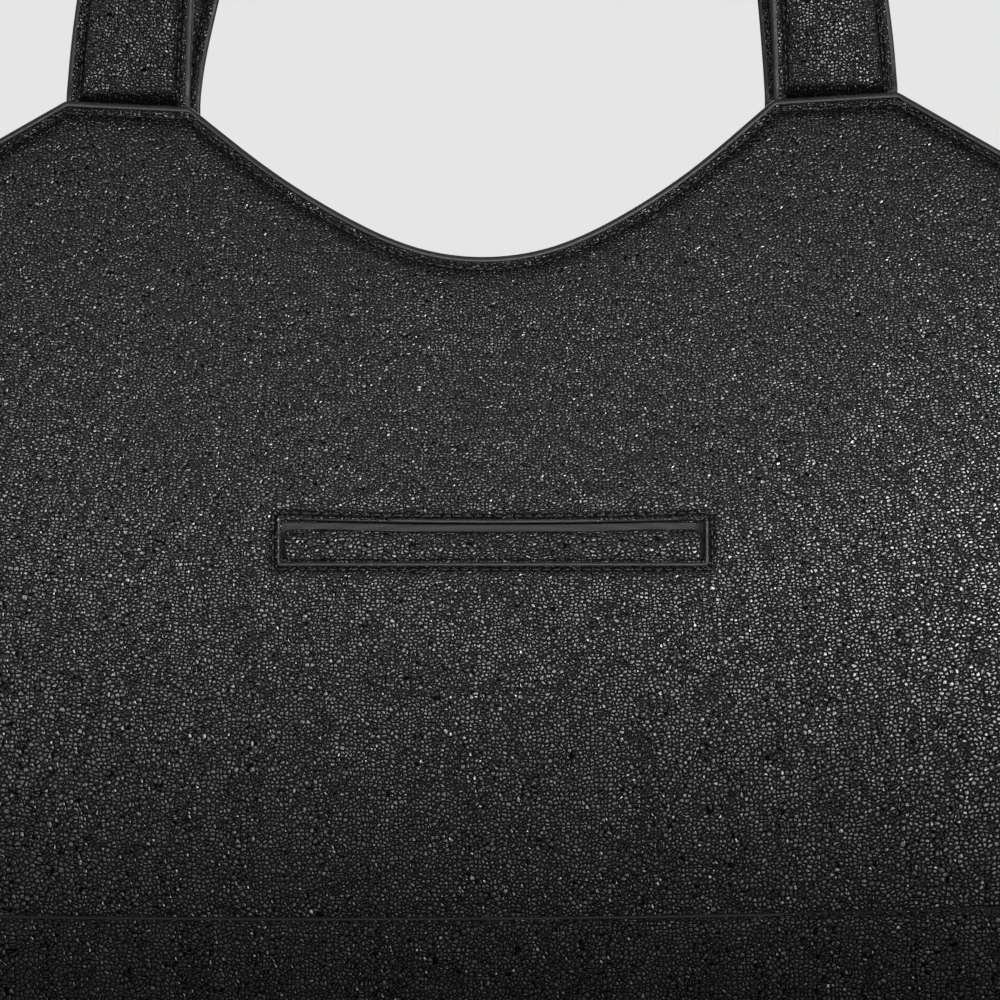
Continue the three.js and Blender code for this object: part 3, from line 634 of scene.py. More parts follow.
# How dark the painted shade in a fold is: its strength, the distance where it is darkest, and its half width
SEAM_PAINTED_SHADE = (0.7, 4.8, 2.2)
FRAME_PAINTED_SHADE = (0.85, 2.2, 0.8)


def painted_shade_at(distance, depth, middle, width):
    return depth * bell((distance - middle) / width)


def profile(table, distance):
    return float(np.interp(distance, [d for d, _ in table], [h for _, h in table]))


def column_x(column, z):
    """A column stands upright near the middle and follows the side seam near the side."""
    a = abs(column)
    if a <= STRAIGHT:
        return float(column)
    share = (a - STRAIGHT) / (HALF_TOP - STRAIGHT)
    return math.copysign(mix(STRAIGHT, half_width(z), share), column)


def window_distance(x, z):
    beside = max(0.0, abs(x) - WINDOW_HALF)
    over = max(0.0, z - WINDOW_HIGH, WINDOW_LOW - z)
    return math.hypot(beside, over)


def window_sag(x, z):
    """The long upper edge of the window gives a little, and pulls the leather over it along."""
    across = max(0.0, 1 - (x / WINDOW_HALF) ** 2)
    return 1.2 * across * smooth((z - 196) / 3) * smooth((216 - z) / 16)


def panel_heights(column):
    top = top_edge(column)
    stretch = edge_stretch(column)
    near = [top - d * stretch for d in EDGE_ROWS]
    last = PANEL_ROWS[-1]
    free = [mix(last, near[0], (k + 1) / (FREE_ROWS + 1)) for k in range(FREE_ROWS)]
    return PANEL_ROWS + free + near


def panel(name, side, window):
    points, painted_shade = [], []
    for column in PANEL_COLUMNS:
        top = top_edge(column)
        stretch = edge_stretch(column)
        for z in panel_heights(column):
            x = column_x(column, z)
            drop = (top - z) / stretch
            out = profile(EDGE_PROFILE, drop)
            # fold is painted shade: dark in the seam groove under the top edge and in the groove round the
            # window
            fold = painted_shade_at(drop, *SEAM_PAINTED_SHADE)
            if window:
                apart = window_distance(x, z)
                out += profile(FRAME_PROFILE, apart)
                fold += painted_shade_at(apart, *FRAME_PAINTED_SHADE)
                z -= window_sag(x, z)
            points.append(wall_point(side, x, z, -out))
            painted_shade.append(fold)
    rows = len(panel_heights(0))
    lowest, highest = PANEL_ROWS.index(WINDOW_LOW), PANEL_ROWS.index(WINDOW_HIGH)

    def keep(i, j):
        middle = (PANEL_COLUMNS[i] + PANEL_COLUMNS[i + 1]) / 2
        return not (window and abs(middle) < WINDOW_HALF and lowest <= j < highest)

    faces = grid_faces(len(PANEL_COLUMNS), rows, keep)
    if side > 0:
        faces = [face[::-1] for face in faces]
    piece = make_piece(name + "_leather", points, faces, replaces=[name], painted_shade=painted_shade)
    paint(piece, LEATHER, EDGE_PAINT)
    if window:
        for polygon in piece.data.polygons:
            spot = polygon.center / MM
            if window_distance(spot.x - SWAY, spot.z) < RIM_WIDTH and spot.z < WINDOW_HIGH:
                polygon.material_index = 1
    thicken(piece, PANEL_THICKNESS, rim_slot=1)
    subdivide(piece)
    return piece


front_panel = panel("front_panel", -1, True)
rear_panel = panel("rear_panel", 1, False)
print("front panel cage", len(front_panel.data.polygons), "faces")

# %% [markdown]
# Normals first: a sheet with an open edge has no inside, so recalculating its normals may turn it
# either way. The panel's thickness has to grow into the bag, so the sheet is turned to face out.

# %% Turn an open sheet to face a direction
def face_towards(piece, direction):
    mesh = piece.data
    total = Vector((0, 0, 0))
    for polygon in mesh.polygons:
        total += polygon.normal * polygon.area
    if total.dot(Vector(direction)) < 0:
        mesh.flip_normals()


face_towards(front_panel, (0, -1, 0))
face_towards(rear_panel, (0, 1, 0))

# %% [markdown]
# ## Painted top edge
# The panel and the facing behind it are glued back to back, trimmed and painted, so the rim reads
# as one smooth band. At the shoulders the strap comes up between the two leathers, and only the
# panel's own edge is painted there.

# %% Bound edges
BINDING_DEPTH = 7.3
SHOULDER_DEPTH = 2.0
GUSSET_INSET = 2.8


def binding_section(depth):
    """(depth from the outer face, height over the top edge) round the band."""
    return [
        (0.5, -2.0), (-0.1, -1.9), (-0.38, -1.3), (-0.36, -0.8), (0.05, -0.15), (0.8, 0.0),
        (depth - 0.7, 0.0), (depth - 0.15, -0.08), (depth + 0.1, -0.5), (depth + 0.12, -1.5),
        (depth - 0.2, -1.9), (mix(0.1, depth, 0.5), -1.75),
    ]


def edge_stations():
    inner = [INNER_CORNER - 1.6, INNER_CORNER - 0.8, INNER_CORNER + 0.2, INNER_CORNER + 1.6]
    outer = [OUTER_CORNER - 1.6, OUTER_CORNER - 0.2, OUTER_CORNER + 0.8, OUTER_CORNER + 1.6]
    scoop = [8, 16, 24, FLOOR_END, 42, 52, 62, 70, SIDE_END, 86]
    return mirrored([0] + scoop + inner + [104, 124] + outer + [145, 165, 190, 215, 226, HALF_TOP])


def painted_band(name, points, rings):
    faces = ring_faces(rings, len(points) // rings)
    piece = make_piece(name + "_paint", points, faces, replaces=[name])
    subdivide(paint(piece, EDGE_PAINT))


def wall_binding(name, side):
    stations = edge_stations()
    points = []
    for x in stations:
        shoulder = INNER_CORNER - 0.5 < abs(x) < OUTER_CORNER + 0.5
        section = binding_section(SHOULDER_DEPTH if shoulder else BINDING_DEPTH)
        stretch = edge_stretch(x)
        for depth, height in section:
            points.append(wall_point(side, x, top_edge(x) + height * stretch, depth))
    painted_band(name, points, len(stations))


def gusset_binding(name, side):
    shares = mirrored([0, 0.2, 0.4, 0.6, 0.8, 1.0])
    reach = seam_depth(WING_Z) - BINDING_DEPTH
    points = []
    for share in shares:
        y = share * reach
        width = gusset_width(y / (seam_depth(WING_Z) - GUSSET_INSET), WING_Z)
        for depth, height in binding_section(BINDING_DEPTH):
            points.append(place(side * (width - depth), y, WING_Z + height))
    painted_band(name, points, len(shares))


for end, way in WALLS:
    wall_binding(end + "_edge_binding", way)
for end, way in SIDES:
    gusset_binding(end + "_edge_binding", way)
print("painted edges made")

# %% [markdown]
# The seam under the painted edge holds the panel to the facing. Its thread lies in the groove that
# the panel's cage already has.

# %% Top seam
SEAM_STEP = 1.5


def edge_route(side, low, high):
    route = []
    count = int((high - low) / SEAM_STEP)
    for k in range(count + 1):
        x = mix(low, high, k / count)
        z = top_edge(x) - GROOVE * math.sqrt(1 + edge_slope(x) ** 2)
        point = wall_point(side, x, z, 0.55)
        lift = (wall_depth(x, z - 2) - wall_depth(x, z + 2)) / 4
        route.append((point, (0, side, lift)))
    return route


for end, way in WALLS:
    stitch_row(end + "_top_seam", edge_route(way, -HALF_TOP + 3, HALF_TOP - 3))
print("top seams sewn")

# %% [markdown]
# ## Base tray
# A tray of leather laps over the foot of the bag. Its edge is painted, its seam presses a groove
# under that edge, and its corners are rounded by the hand that turned them.

# %% Base tray
BASE_Z = 6.0
# (height over the tray's edge, or over the ground, and how far out) from the rim to under the base
TRAY_PROFILE = (
    (0.0, 0.9), (0.0, 1.9), (-0.5, 2.35), (-1.1, 2.3), (-1.7, 1.85), (-2.4, 2.35), (-4.2, 2.45),
    (-10, 2.3), (-24, 2.3),
)
TRAY_FOOT = ((24, 2.3), (12, 2.3), (8.2, 2.0), (6.5, 0.8), (BASE_Z, -1.2), (BASE_Z, -14), (BASE_Z, -40))
TRAY_INSIDE = ((8, -40), (8, 0.3), (40, 0.3))


def tray_edge(x):
    share = x / 154.0
    return TRAY_Z + 2.2 + 1.1 * share + 1.6 * share * share


def loop_columns():
    """Places round the body: (x share, y share) of its outline, clockwise from the front left."""
    across = mirrored([0, 0.15, 0.3, 0.45, 0.6, 0.75, 0.88, 0.96, 1.0])
    sides = [-0.9, -0.6, -0.2, 0.2, 0.6, 0.9]
    loop = [("wall", u, -1) for u in across]
    loop += [("side", 1, v) for v in sides]
    loop += [("wall", u, 1) for u in across[::-1]]
    loop += [("side", -1, v) for v in sides[::-1]]
    return loop


def loop_point(kind, a, b, z, out):
    """A point round the body, out from its face; kind says whether a is an x share or a side."""
    width = half_width(z)
    if kind == "wall":
        depth = wall_depth(a * width, z)
        return (a * (width + out), b * (depth + out), z)
    return (a * (width + out), b * (seam_depth(z) + out), z)


def base_tray():
    loop = loop_columns()
    count = len(loop)

    def level(z, out):
        return [loop_point(*spot, z, out) for spot in loop]

    def under_edge(drop, out):
        return [loop_point(*spot, tray_edge(spot[1] * HALF_BASE) + drop, out) for spot in loop]

    outer = [under_edge(*row) for row in TRAY_PROFILE] + [level(*row) for row in TRAY_FOOT]
    inner = [level(*row) for row in TRAY_INSIDE] + [under_edge(-1, 0.3)]
    shell = [point for row in outer + inner for point in row]
    bottom, last = len(outer) - 1, len(outer + inner) - 1
    pairs = [(r, r + 1) for r in range(last) if r != bottom] + [(last, 0)]
    faces = []
    for r, after in pairs:
        for k in range(count):
            n = (k + 1) % count
            faces.append((r * count + k, r * count + n, after * count + n, after * count + k))
    faces.append(tuple(range(bottom * count, (bottom + 1) * count)))
    faces.append(tuple(range((bottom + 1) * count, (bottom + 2) * count))[::-1])
    points = [place(*p) for p in shell]
    piece = make_piece("base_tray_leather", points, faces, replaces=["base_tray"])
    paint(piece, LEATHER, EDGE_PAINT)
    for polygon in piece.data.polygons:
        heights = [piece.data.vertices[v].co for v in polygon.vertices]
        if all(h.z / MM > tray_edge(h.x / MM) - 1.2 for h in heights):
            polygon.material_index = 1
    subdivide(piece)


base_tray()
tray_route = []
for k in range(301):
    x = mix(-196, 196, k / 300)
    z = tray_edge(x) - 1.75
    tray_route.append((place(x, -(wall_depth(x, z) + 1.95), z), (0, -1, 0)))
print("base tray made")


# %% [markdown]
# ## Gussets, facings and lining
# The gussets fold inwards as a paper bag does. The facing is the leather lip inside the mouth, and
# the lining hangs below it. All are thin sheets of the same body, so one function lays them out.

# %% Layers of the walls
SIDE_SHARE = 0.93
LINER_COLUMNS = mirrored([0, 16, 32, 48, 64, SIDE_END, 86, 92, 98, 114, 134, 155, 175, 195, 210, 217])


def reach(z, depth):
    """How far to the side a layer of the front or rear wall goes before it meets the gusset's."""
    return gusset_width(SIDE_SHARE, min(z, WING_Z)) - depth


def liner_x(column, z, depth):
    a = abs(column)
    if a <= OUTER_CORNER:
        return float(column)
    share = (a - OUTER_CORNER) / (LINER_COLUMNS[-1] - OUTER_CORNER)
    return math.copysign(mix(OUTER_CORNER, reach(z, depth), share), column)


def wall_sheet(name, side, heights, depth, material, thick, wrinkle=0.0, hole=None, replaces=()):
    """heights(x) lists the rows at x. hole is (half width, first row, last row) of a window."""
    rows = len(heights(0))
    points = []
    for column in LINER_COLUMNS:
        for z in heights(column):
            x = liner_x(column, z, depth)
            wave = wrinkle * noise.noise(Vector((x * 0.03, side * 7.0, z * 0.018)))
            points.append(wall_point(side, x, z, depth + max(-0.2, wave)))

    def keep(i, j):
        middle = (LINER_COLUMNS[i] + LINER_COLUMNS[i + 1]) / 2
        return not (hole and abs(middle) < hole[0] and hole[1] <= j < hole[2])

    piece = make_piece(name, points, grid_faces(len(LINER_COLUMNS), rows, keep), replaces=replaces)
    face_towards(paint(piece, material), (0, -side, 0))
    thicken(piece, thick, offset=1.0)
    subdivide(piece)
    return piece


def side_sheet(name, side, heights, depth, inset, material, thick, inward=True, wrinkle=0.0,
               replaces=()):
    shares = mirrored([0, 0.08, 0.2, 0.35, 0.5, 0.65, 0.8, 0.92, 1.0])
    points = []
    for share in shares:
        for z in heights:
            y = share * (seam_depth(z) - inset)
            width = gusset_width(y / (seam_depth(z) - GUSSET_INSET), z)
            wave = wrinkle * noise.noise(Vector((y * 0.05, side * 7.0, z * 0.018)))
            points.append(place(side * (width - depth - max(-0.2, wave)), y, z))
    piece = make_piece(name, points, grid_faces(len(shares), len(heights)), replaces=replaces)
    face_towards(paint(piece, material), (-side if inward else side, 0, 0))
    thicken(piece, thick, offset=1.0 if inward else -1.0)
    subdivide(piece)
    return piece


# %% Gussets and facings
FACING_HEIGHT = 38.0
FACING_DEPTH = 5.6


def facing_heights(x):
    return even(top_edge(x) - FACING_HEIGHT, top_edge(x) - 1.7, 8)


for end, way in WALLS:
    wall_sheet(end + "_facing_leather", way, facing_heights, FACING_DEPTH, FINE_LEATHER, 1.6,
               replaces=[end + "_facing"])
for end, way in SIDES:
    side_sheet(end + "_gusset_leather", way, even(PANEL_LOW, WING_Z - 1.6, 16), 0.0, 2.6, LEATHER,
               2.0, inward=False, replaces=[end + "_gusset"])
    side_sheet(end + "_facing_leather", way, even(WING_Z - FACING_HEIGHT, WING_Z - 1.7, 6),
               FACING_DEPTH, 8.0, FINE_LEATHER, 1.6, replaces=[end + "_facing"])
print("gussets and facings made")

# %% [markdown]
# The lining is cloth that hangs from the lower edge of the facings, a little loose, so its sheets
# are laid out with a gentle wrinkle. Its rear wall has a window for the zip.

# %% Lining
LINING_LOW = 10.9
LINING_DEPTH = 5.8
ZIP_HALF = 92.0
ZIP_Z = 226.0
ZIP_WINDOW = (218.5, 233.5)
LINING_ROWS = [LINING_LOW, 30, 60, 90, 120, 150, 180, 205, *ZIP_WINDOW, 239]


def lining_heights(x):
    high = top_edge(x) - FACING_HEIGHT - 0.4
    return LINING_ROWS + even(LINING_ROWS[-1], high, 5)[1:]


zip_rows = (ZIP_HALF, LINING_ROWS.index(ZIP_WINDOW[0]), LINING_ROWS.index(ZIP_WINDOW[1]))
for end, way in WALLS:
    cloth = wall_sheet(end + "_lining_cloth", way, lining_heights, LINING_DEPTH, LINING, 0.8,
                       wrinkle=2.2, hole=zip_rows if way > 0 else None, replaces=[end + "_lining"])
for end, way in SIDES:
    rows = even(LINING_LOW, WING_Z - FACING_HEIGHT - 0.4, 14)
    cloth = side_sheet(end + "_lining_cloth", way, rows, LINING_DEPTH, 7.2, LINING, 0.8,
                       wrinkle=1.2, replaces=[end + "_lining"])
print("lining hung")

# %% [markdown]
# ## Handles
# A handle is a flat strap bent into an arch. Its section is drawn once: a thin painted edge, a
# groove for the seam, and a round back over the foam. A frame that turns along the arch carries it.

# %% Handles: path and section
HANDLE_Z = 337.0
HANDLE_RISE = 246.0
HANDLE_LEAN = 0.045
HANDLE_MIDDLE = 5.6
BOW_LEFT, BOW_RIGHT = 8.0, 1.0    # how far the legs of the rear handle bow in
FACE_HALF = [
    (20.0, 0.12), (20.0, 0.85), (19.6, 1.3), (18.9, 1.45), (18.5, 1.3), (17.6, 1.4), (16.9, 1.2),
    (16.3, 0.45), (15.5, 0.4), (14.9, 1.4), (14.0, 2.5), (11.5, 3.3), (6.5, 3.75), (0.0, 3.85),
]
BACK_LINE = [(w, 0.12) for w in (-14.0, -7.0, 0.0, 7.0, 14.0)]
FACE_SECTION = FACE_HALF + [(-w, n) for w, n in FACE_HALF[-2::-1]] + BACK_LINE
PAINT_EDGE = 18.6
GROOVE_AT = 15.8
ROOT_FLAT, ROOT_FILL = 0.2, 7.0    # heights where the padding starts and where it is full
FLAT_HEIGHT = 0.7
STRAP_CREASE = 0.5
TUCKED = [1.5, 3.5, 7.0, 12.0, 18.0, 26.0, 34.0]    # how far below the shoulder the hidden rows lie


def handle_frame(side, angle):
    """Centre, outward and sideways directions of the strap, angle 0 at the right shoulder."""
    rise = HANDLE_RISE * math.sin(angle)
    x = (SHOULDER_CENTRE - HANDLE_LEAN * rise) * math.cos(angle)
    if side > 0:
        bow = 0.5 - 0.5 * math.cos(2 * angle)
        x += mix(BOW_LEFT, -BOW_RIGHT, 0.5 + 0.5 * math.cos(angle)) * (1 - math.exp(-bow * 30))
    y = side * (wall_depth(SHOULDER_CENTRE, SHOULDER_Z) - HANDLE_MIDDLE)
    ahead = Vector((-SHOULDER_CENTRE * math.sin(angle), 0, HANDLE_RISE * math.cos(angle))).normalized()
    outward = Vector((ahead.z, 0, -ahead.x))
    turn = math.pi / 2 * math.sin(angle) ** 0.8
    normal = Vector((0, side * math.cos(turn), 0)) + outward * math.sin(turn)
    return Vector((x, y, HANDLE_Z + rise)), normal, ahead.cross(normal)


def handle_angles():
    """Close steps at the roots, where the padding ends, and even steps round the arch."""
    root = [math.asin(rise / HANDLE_RISE) for rise in (0, 0.8, 1.6, 2.4, *even(4.0, 62.0, 30))]
    middle = even(0.31, math.pi - 0.31, 40)
    return root + middle + [math.pi - a for a in root[::-1]]


def strap_depth(z):
    """Depth of the strap's middle behind the panel's face: it tucks in between the two leathers."""
    return mix(3.8, HANDLE_MIDDLE, smooth((z - 333.5) / 9))


def strap_stations(side):
    """Rows of the strap from inside the right shoulder to inside the left one."""
    stations = []
    for angle in handle_angles():
        centre, normal, across = handle_frame(side, angle)
        centre.y = side * (wall_depth(SHOULDER_CENTRE, SHOULDER_Z) - strap_depth(centre.z))
        stations.append((centre, normal, across, centre.z - HANDLE_Z))

    def sunk(station, drop):
        centre, normal, across, _ = station
        z = HANDLE_Z - drop
        level = min(z, SHOULDER_Z)
        y = side * (wall_depth(SHOULDER_CENTRE, level) - strap_depth(z))
        return Vector((centre.x, y, z)), normal, across, -drop

    start = [sunk(stations[0], drop) for drop in TUCKED[::-1]]
    return start + stations + [sunk(stations[-1], drop) for drop in TUCKED]


def strap_point(station, w, n, facing):
    """A point of the strap's section, with the padding let down to nothing at the roots."""
    centre, normal, across, rise = station
    fill = min(1.0, max(0.0, (rise - ROOT_FLAT) / ROOT_FILL)) ** 0.4
    height = n
    if n > 0.2 and abs(w) < GROOVE_AT - 0.3:
        fold = noise.noise(Vector((centre.x * 0.05, facing * 3.0 + w * 0.03, rise * 0.33)))
        crease = STRAP_CREASE * fold * fill * smooth((70 - rise) / 50)
        height = mix(FLAT_HEIGHT, n if facing > 0 else mix(FLAT_HEIGHT, n, 0.6), fill) + crease
    return centre + across * (w * facing) + normal * (height * facing)


# %% [markdown]
# Each handle is two leathers sewn back to back over a foam core. The padding stops just above the
# bag, where the leathers lie flat and slip in between the panel and its facing.

# %% Strap leathers
# Painted shade in the strap's seam grooves: its strength, the distance from the middle where it is darkest,
# and its half width.
STRAP_PAINTED_SHADE = (0.9, GROOVE_AT, 0.8)


def applied(piece):
    """The piece with its modifiers made part of its mesh."""
    graph = bpy.context.evaluated_depsgraph_get()
    mesh = bpy.data.meshes.new_from_object(piece.evaluated_get(graph))
    piece.modifiers.clear()
    piece.data = mesh
    return piece


def bend_at_shoulder(piece, side):
    y = side * (wall_depth(SHOULDER_CENTRE, SHOULDER_Z) - HANDLE_MIDDLE) * MM
    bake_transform(piece)


def strap_painted_shade(w, rise):
    """How much painted shade a point of the strap gets: in a seam groove, or just under where the padding
    ends.
    """
    seam = painted_shade_at(abs(w), *STRAP_PAINTED_SHADE)
    pad_end = 0.95 * smooth((1.6 - rise) / 2.0) if abs(w) < GROOVE_AT else 0.0
    return max(seam, pad_end)


def strap(name, side, facing, replaces):
    stations = strap_stations(side)
    count = len(FACE_SECTION)
    points = [place(*strap_point(station, w, n, facing)) for station in stations for w, n in FACE_SECTION]
    painted_shade = [strap_painted_shade(w, station[3]) for station in stations for w, _ in FACE_SECTION]
    piece = make_piece(name, points, ring_faces(len(stations), count), None, replaces, painted_shade)
    paint(piece, STRAP_LEATHER, EDGE_PAINT)
    for polygon in piece.data.polygons:
        spots = [abs(FACE_SECTION[v % count][0]) for v in polygon.vertices]
        if len(spots) == 4 and min(spots) > PAINT_EDGE - 0.2:
            polygon.material_index = 1
    subdivide(piece)
    bend_at_shoulder(applied(piece), side)


def strap_seams(end, side, facing, layer):
    stations = strap_stations(side)
    for way, tag in ((-1, "inner"), (1, "outer")):
        route = []
        for station in stations[6:-6]:
            point = strap_point(station, way * GROOVE_AT, 0.6, facing)
            route.append((place(*point), station[1] * facing))
        row = stitch_row(end + "_handle_" + layer + "_thread_" + tag, route, body=None)
        bend_at_shoulder(row, side)


for end, way in WALLS:
    tabs = [end + "_handle_tab_left", end + "_handle_tab_right"]
    strap(end + "_handle_outer", way, 1, [end + "_handle_face", end + "_handle_core", *tabs])
    strap(end + "_handle_inner", way, -1, [end + "_handle_backing"])
    strap_seams(end, way, 1, "outer")
    strap_seams(end, way, -1, "inner")
print("handles made")

# %% [markdown]
# ## Welt pocket
# A padded lip of leather covers the lower part of the pocket's window. It is a small pillow: a
# closed bar whose faces swell, which a short cloth simulation with inner pressure does.

# %% Padding by cloth simulation
LAST_FRAME = 20


def puffed(piece, voxel, pressure, cap):
    """Remeshes a closed piece evenly, lets its padding swell it, and stops each point at cap."""
    remesh = piece.modifiers.new("even", "REMESH")
    remesh.mode = "VOXEL"
    remesh.voxel_size = voxel * MM
    applied(piece)
    start = np.array([v.co for v in piece.data.vertices])
    cloth = piece.modifiers.new("padding", "CLOTH")
    cloth.settings.use_pressure = True
    cloth.settings.uniform_pressure_force = pressure
    cloth.settings.effector_weights.gravity = 0.0
    cloth.point_cache.frame_start = 1
    cloth.point_cache.frame_end = LAST_FRAME
    for frame_number in range(1, LAST_FRAME + 1):
        bpy.context.scene.frame_set(frame_number)
    applied(piece)
    bpy.context.scene.frame_set(1)
    moved = np.array([v.co for v in piece.data.vertices]) - start
    size = np.linalg.norm(moved, axis=1, keepdims=True)
    held = start + moved * np.minimum(1.0, cap * MM / np.maximum(size, 1e-9))
    piece.data.vertices.foreach_set("co", held.ravel())
    shade_smooth(piece.data)


# %% Pocket lip
LIP_LOW, LIP_HIGH = 185.3, 195.9
LIP_HALF = 66.0
# (share of the lip's height, depth behind the panel's face) round its section
LIP_SECTION = (
    (0.0, 2.3), (0.06, 1.2), (0.2, 0.6), (0.5, 0.5), (0.84, 0.9), (0.97, 1.8), (1.0, 3.0), (0.8, 3.6),
    (0.2, 3.4),
)
LIP_VOXEL, LIP_PRESSURE, LIP_SWELL = 0.8, 4.0, 0.7


def pocket_lip():
    columns = mirrored([0, 12, 24, 36, 48, 58, 63, 65.2, LIP_HALF])
    points = []
    for x in columns:
        close = 1 - smooth((abs(x) - 64) / 3) * 0.2
        for t, depth in LIP_SECTION:
            z = mix(LIP_LOW, LIP_HIGH + 0.5 * smooth(abs(x) / 67), mix(0.5, t, close))
            bump = 0.3 * noise.noise(Vector((x * 0.16, 4.0, t)))
            points.append(wall_point(-1, x, z, mix(2.4, depth, close) - bump))
    piece = make_piece("pocket_lip_padding", points, ring_faces(len(columns), len(LIP_SECTION)),
                       replaces=["pocket_lip"])
    paint(piece, LIP_LEATHER)
    subdivide(piece)
    puffed(applied(piece), LIP_VOXEL, LIP_PRESSURE, LIP_SWELL)
    subdivide(piece, 1)


pocket_lip()


# %% Pocket seam
SEAM_FROM_WINDOW = 2.3


def window_route():
    """Round the window, a little outside its edge."""
    out = SEAM_FROM_WINDOW
    reach_x, low, high = WINDOW_HALF + out, WINDOW_LOW - out, WINDOW_HIGH + out
    corners = [(-reach_x, high), (-reach_x, low), (reach_x, low), (reach_x, high), (-reach_x, high)]
    route = []
    for (x0, z0), (x1, z1) in zip(corners[:-1], corners[1:]):
        count = max(4, int(math.hypot(x1 - x0, z1 - z0) / 2))
        for k in range(count):
            x, z = mix(x0, x1, k / count), mix(z0, z1, k / count)
            route.append((wall_point(-1, x, z - window_sag(x, z), 0.5), (0, -1, 0.1)))
    return route


stitch_row("pocket_frame_thread", window_route())
stitch_row("base_seam_thread", tray_route)
print("pocket and base seams sewn")

# %% [markdown]
# ## Inside pockets
# A slip pocket on the front wall stands a little open along its leather-bound mouth. The bottle
# pockets on the side walls are gathered by an elastic band.

# %% Inside pockets
def cloth_grid(name, point, across, up, material, thick, towards, replaces, keep=lambda i, j: True):
    """A thin piece from point(s, t), with s from -1 to 1 across it and t from 0 to 1 up it."""
    points = [point(s, t) for s in even(-1, 1, across) for t in even(0, 1, up)]
    piece = make_piece(name, points, grid_faces(across, up, keep), replaces=replaces)
    face_towards(paint(piece, material), towards)
    thicken(piece, thick, offset=1.0)
    subdivide(piece)
    return piece


# Behind the window in the front panel: a leather patch that frames it, and two layers of near-black pouch
# cloth, which is painted shade inside the pocket's mouth
PATCH_HALF, PATCH_LOW, PATCH_HIGH = 78.0, 174.6, 210.0
POUCH_HALF, POUCH_LOW = 75.0, 80.6


def wall_patch(half, low, high, depth):
    return lambda s, t: wall_point(-1, s * half, mix(low, high, t), depth)


def round_window(i, j):
    return not (1 <= i < 13 and j == 1)


cloth_grid("pocket_patch_leather", wall_patch(PATCH_HALF, PATCH_LOW, PATCH_HIGH, 3.2), 15, 4,
           FINE_LEATHER, 0.8, (0, -1, 0), ["pocket_patch"], round_window)
for layer, depth, high in (("front", 4.1, WINDOW_LOW - 0.3), ("rear", 5.0, PATCH_HIGH)):
    pouch = cloth_grid("pocket_pouch_" + layer + "_cloth", wall_patch(POUCH_HALF, POUCH_LOW, high, depth),
                       9, 9, POUCH_SHADE_CLOTH, 0.4, (0, -1, 0), ["pocket_pouch_" + layer])

SLIP_HALF, SLIP_LOW, SLIP_HIGH, SLIP_BELLY = 85.0, 78.0, 168.0, 14.0
POCKET_DEPTH = 7.6


def slip_belly(s, t):
    fold = 1.6 * noise.noise(Vector((s * 2.2, 3.0, t * 1.5))) * t * (1 - s * s)
    return SLIP_BELLY * t**0.8 * max(0.0, 1 - s * s) ** 0.7 + fold


def slip_point(s, t):
    return wall_point(-1, s * SLIP_HALF, mix(SLIP_LOW, SLIP_HIGH, t), POCKET_DEPTH + slip_belly(s, t))


def slip_mouth(s, t):
    z = mix(SLIP_HIGH + 0.1, SLIP_HIGH + 6, t)
    return wall_point(-1, s * SLIP_HALF, z, POCKET_DEPTH - 0.3 + slip_belly(s, 1))


slip = cloth_grid("slip_pocket_cloth", slip_point, 13, 9, LINING, 0.8, (0, 1, 0),
                  ["slip_pocket"])
cloth_grid("slip_pocket_mouth", slip_mouth, 13, 3, FINE_LEATHER, 1.5, (0, 1, 0),
           ["slip_pocket_binding"])

BOTTLE_HALF, BOTTLE_LOW, BOTTLE_HIGH, BOTTLE_BELLY = 50.0, 14.0, 146.0, 36.0


def bottle_point(side, s, z, bow):
    y = s * BOTTLE_HALF
    width = gusset_width(y / (seam_depth(z) - GUSSET_INSET), z)
    return place(side * (width - POCKET_DEPTH - bow), y, z)


def bottle_belly(s, t):
    gathers = 0.9 * t**3 * math.cos(s * 26) * (1 - s * s) ** 0.5
    rounding = 0.25 + 0.75 * math.sin(math.pi * mix(0.1, 0.72, t))
    return BOTTLE_BELLY * rounding * max(0.0, 1 - s * s) ** 0.8 + gathers


for end, way in SIDES:
    cloth = cloth_grid(
        "bottle_pocket_" + end + "_cloth",
        lambda s, t, w=way: bottle_point(w, s, mix(BOTTLE_LOW, BOTTLE_HIGH, t), bottle_belly(s, t)),
        33, 12, LINING, 0.8, (-way, 0, 0), ["bottle_pocket_" + end])
    cloth_grid(
        "bottle_elastic_" + end + "_band",
        lambda s, t, w=way: bottle_point(w, s, BOTTLE_HIGH + 0.2 + 8.8 * t, bottle_belly(s, 1) - 0.3),
        33, 4, ELASTIC, 1.6, (-way, 0, 0), ["bottle_elastic_" + end])
print("inside pockets made")

# %% [markdown]
# ## Zip pocket
# The zip lies in its own tilted plane. Each row of teeth is one small tooth, repeated by an Array.

# %% Zip
def wall_lean(z):
    """How far the middle of a wall leans in at height z."""
    return math.atan((crown_depth(z - 5) - crown_depth(z + 5)) / 10)


ZIP_MIDDLE = (0, wall_depth(ZIP_HALF, ZIP_Z) - 9.0, ZIP_Z)
ZIP_PLACE = Matrix.Translation(ZIP_MIDDLE) @ Matrix.Rotation(wall_lean(ZIP_Z), 4, "X")
TOOTH_PITCH = 1.9


def zip_point(x, y, z):
    return place(*(ZIP_PLACE @ Vector((x, y, z))))


def rounded(piece, width, segments=2):
    bevel = piece.modifiers.new("rounding", "BEVEL")
    bevel.width = width * MM
    bevel.segments = segments
    bevel.limit_method = "ANGLE"
    bevel.angle_limit = math.radians(35)
    return piece


BLOCK_FACES = [(0, 1, 3, 2), (4, 6, 7, 5), (0, 4, 5, 1), (2, 3, 7, 6), (0, 2, 6, 4), (1, 5, 7, 3)]


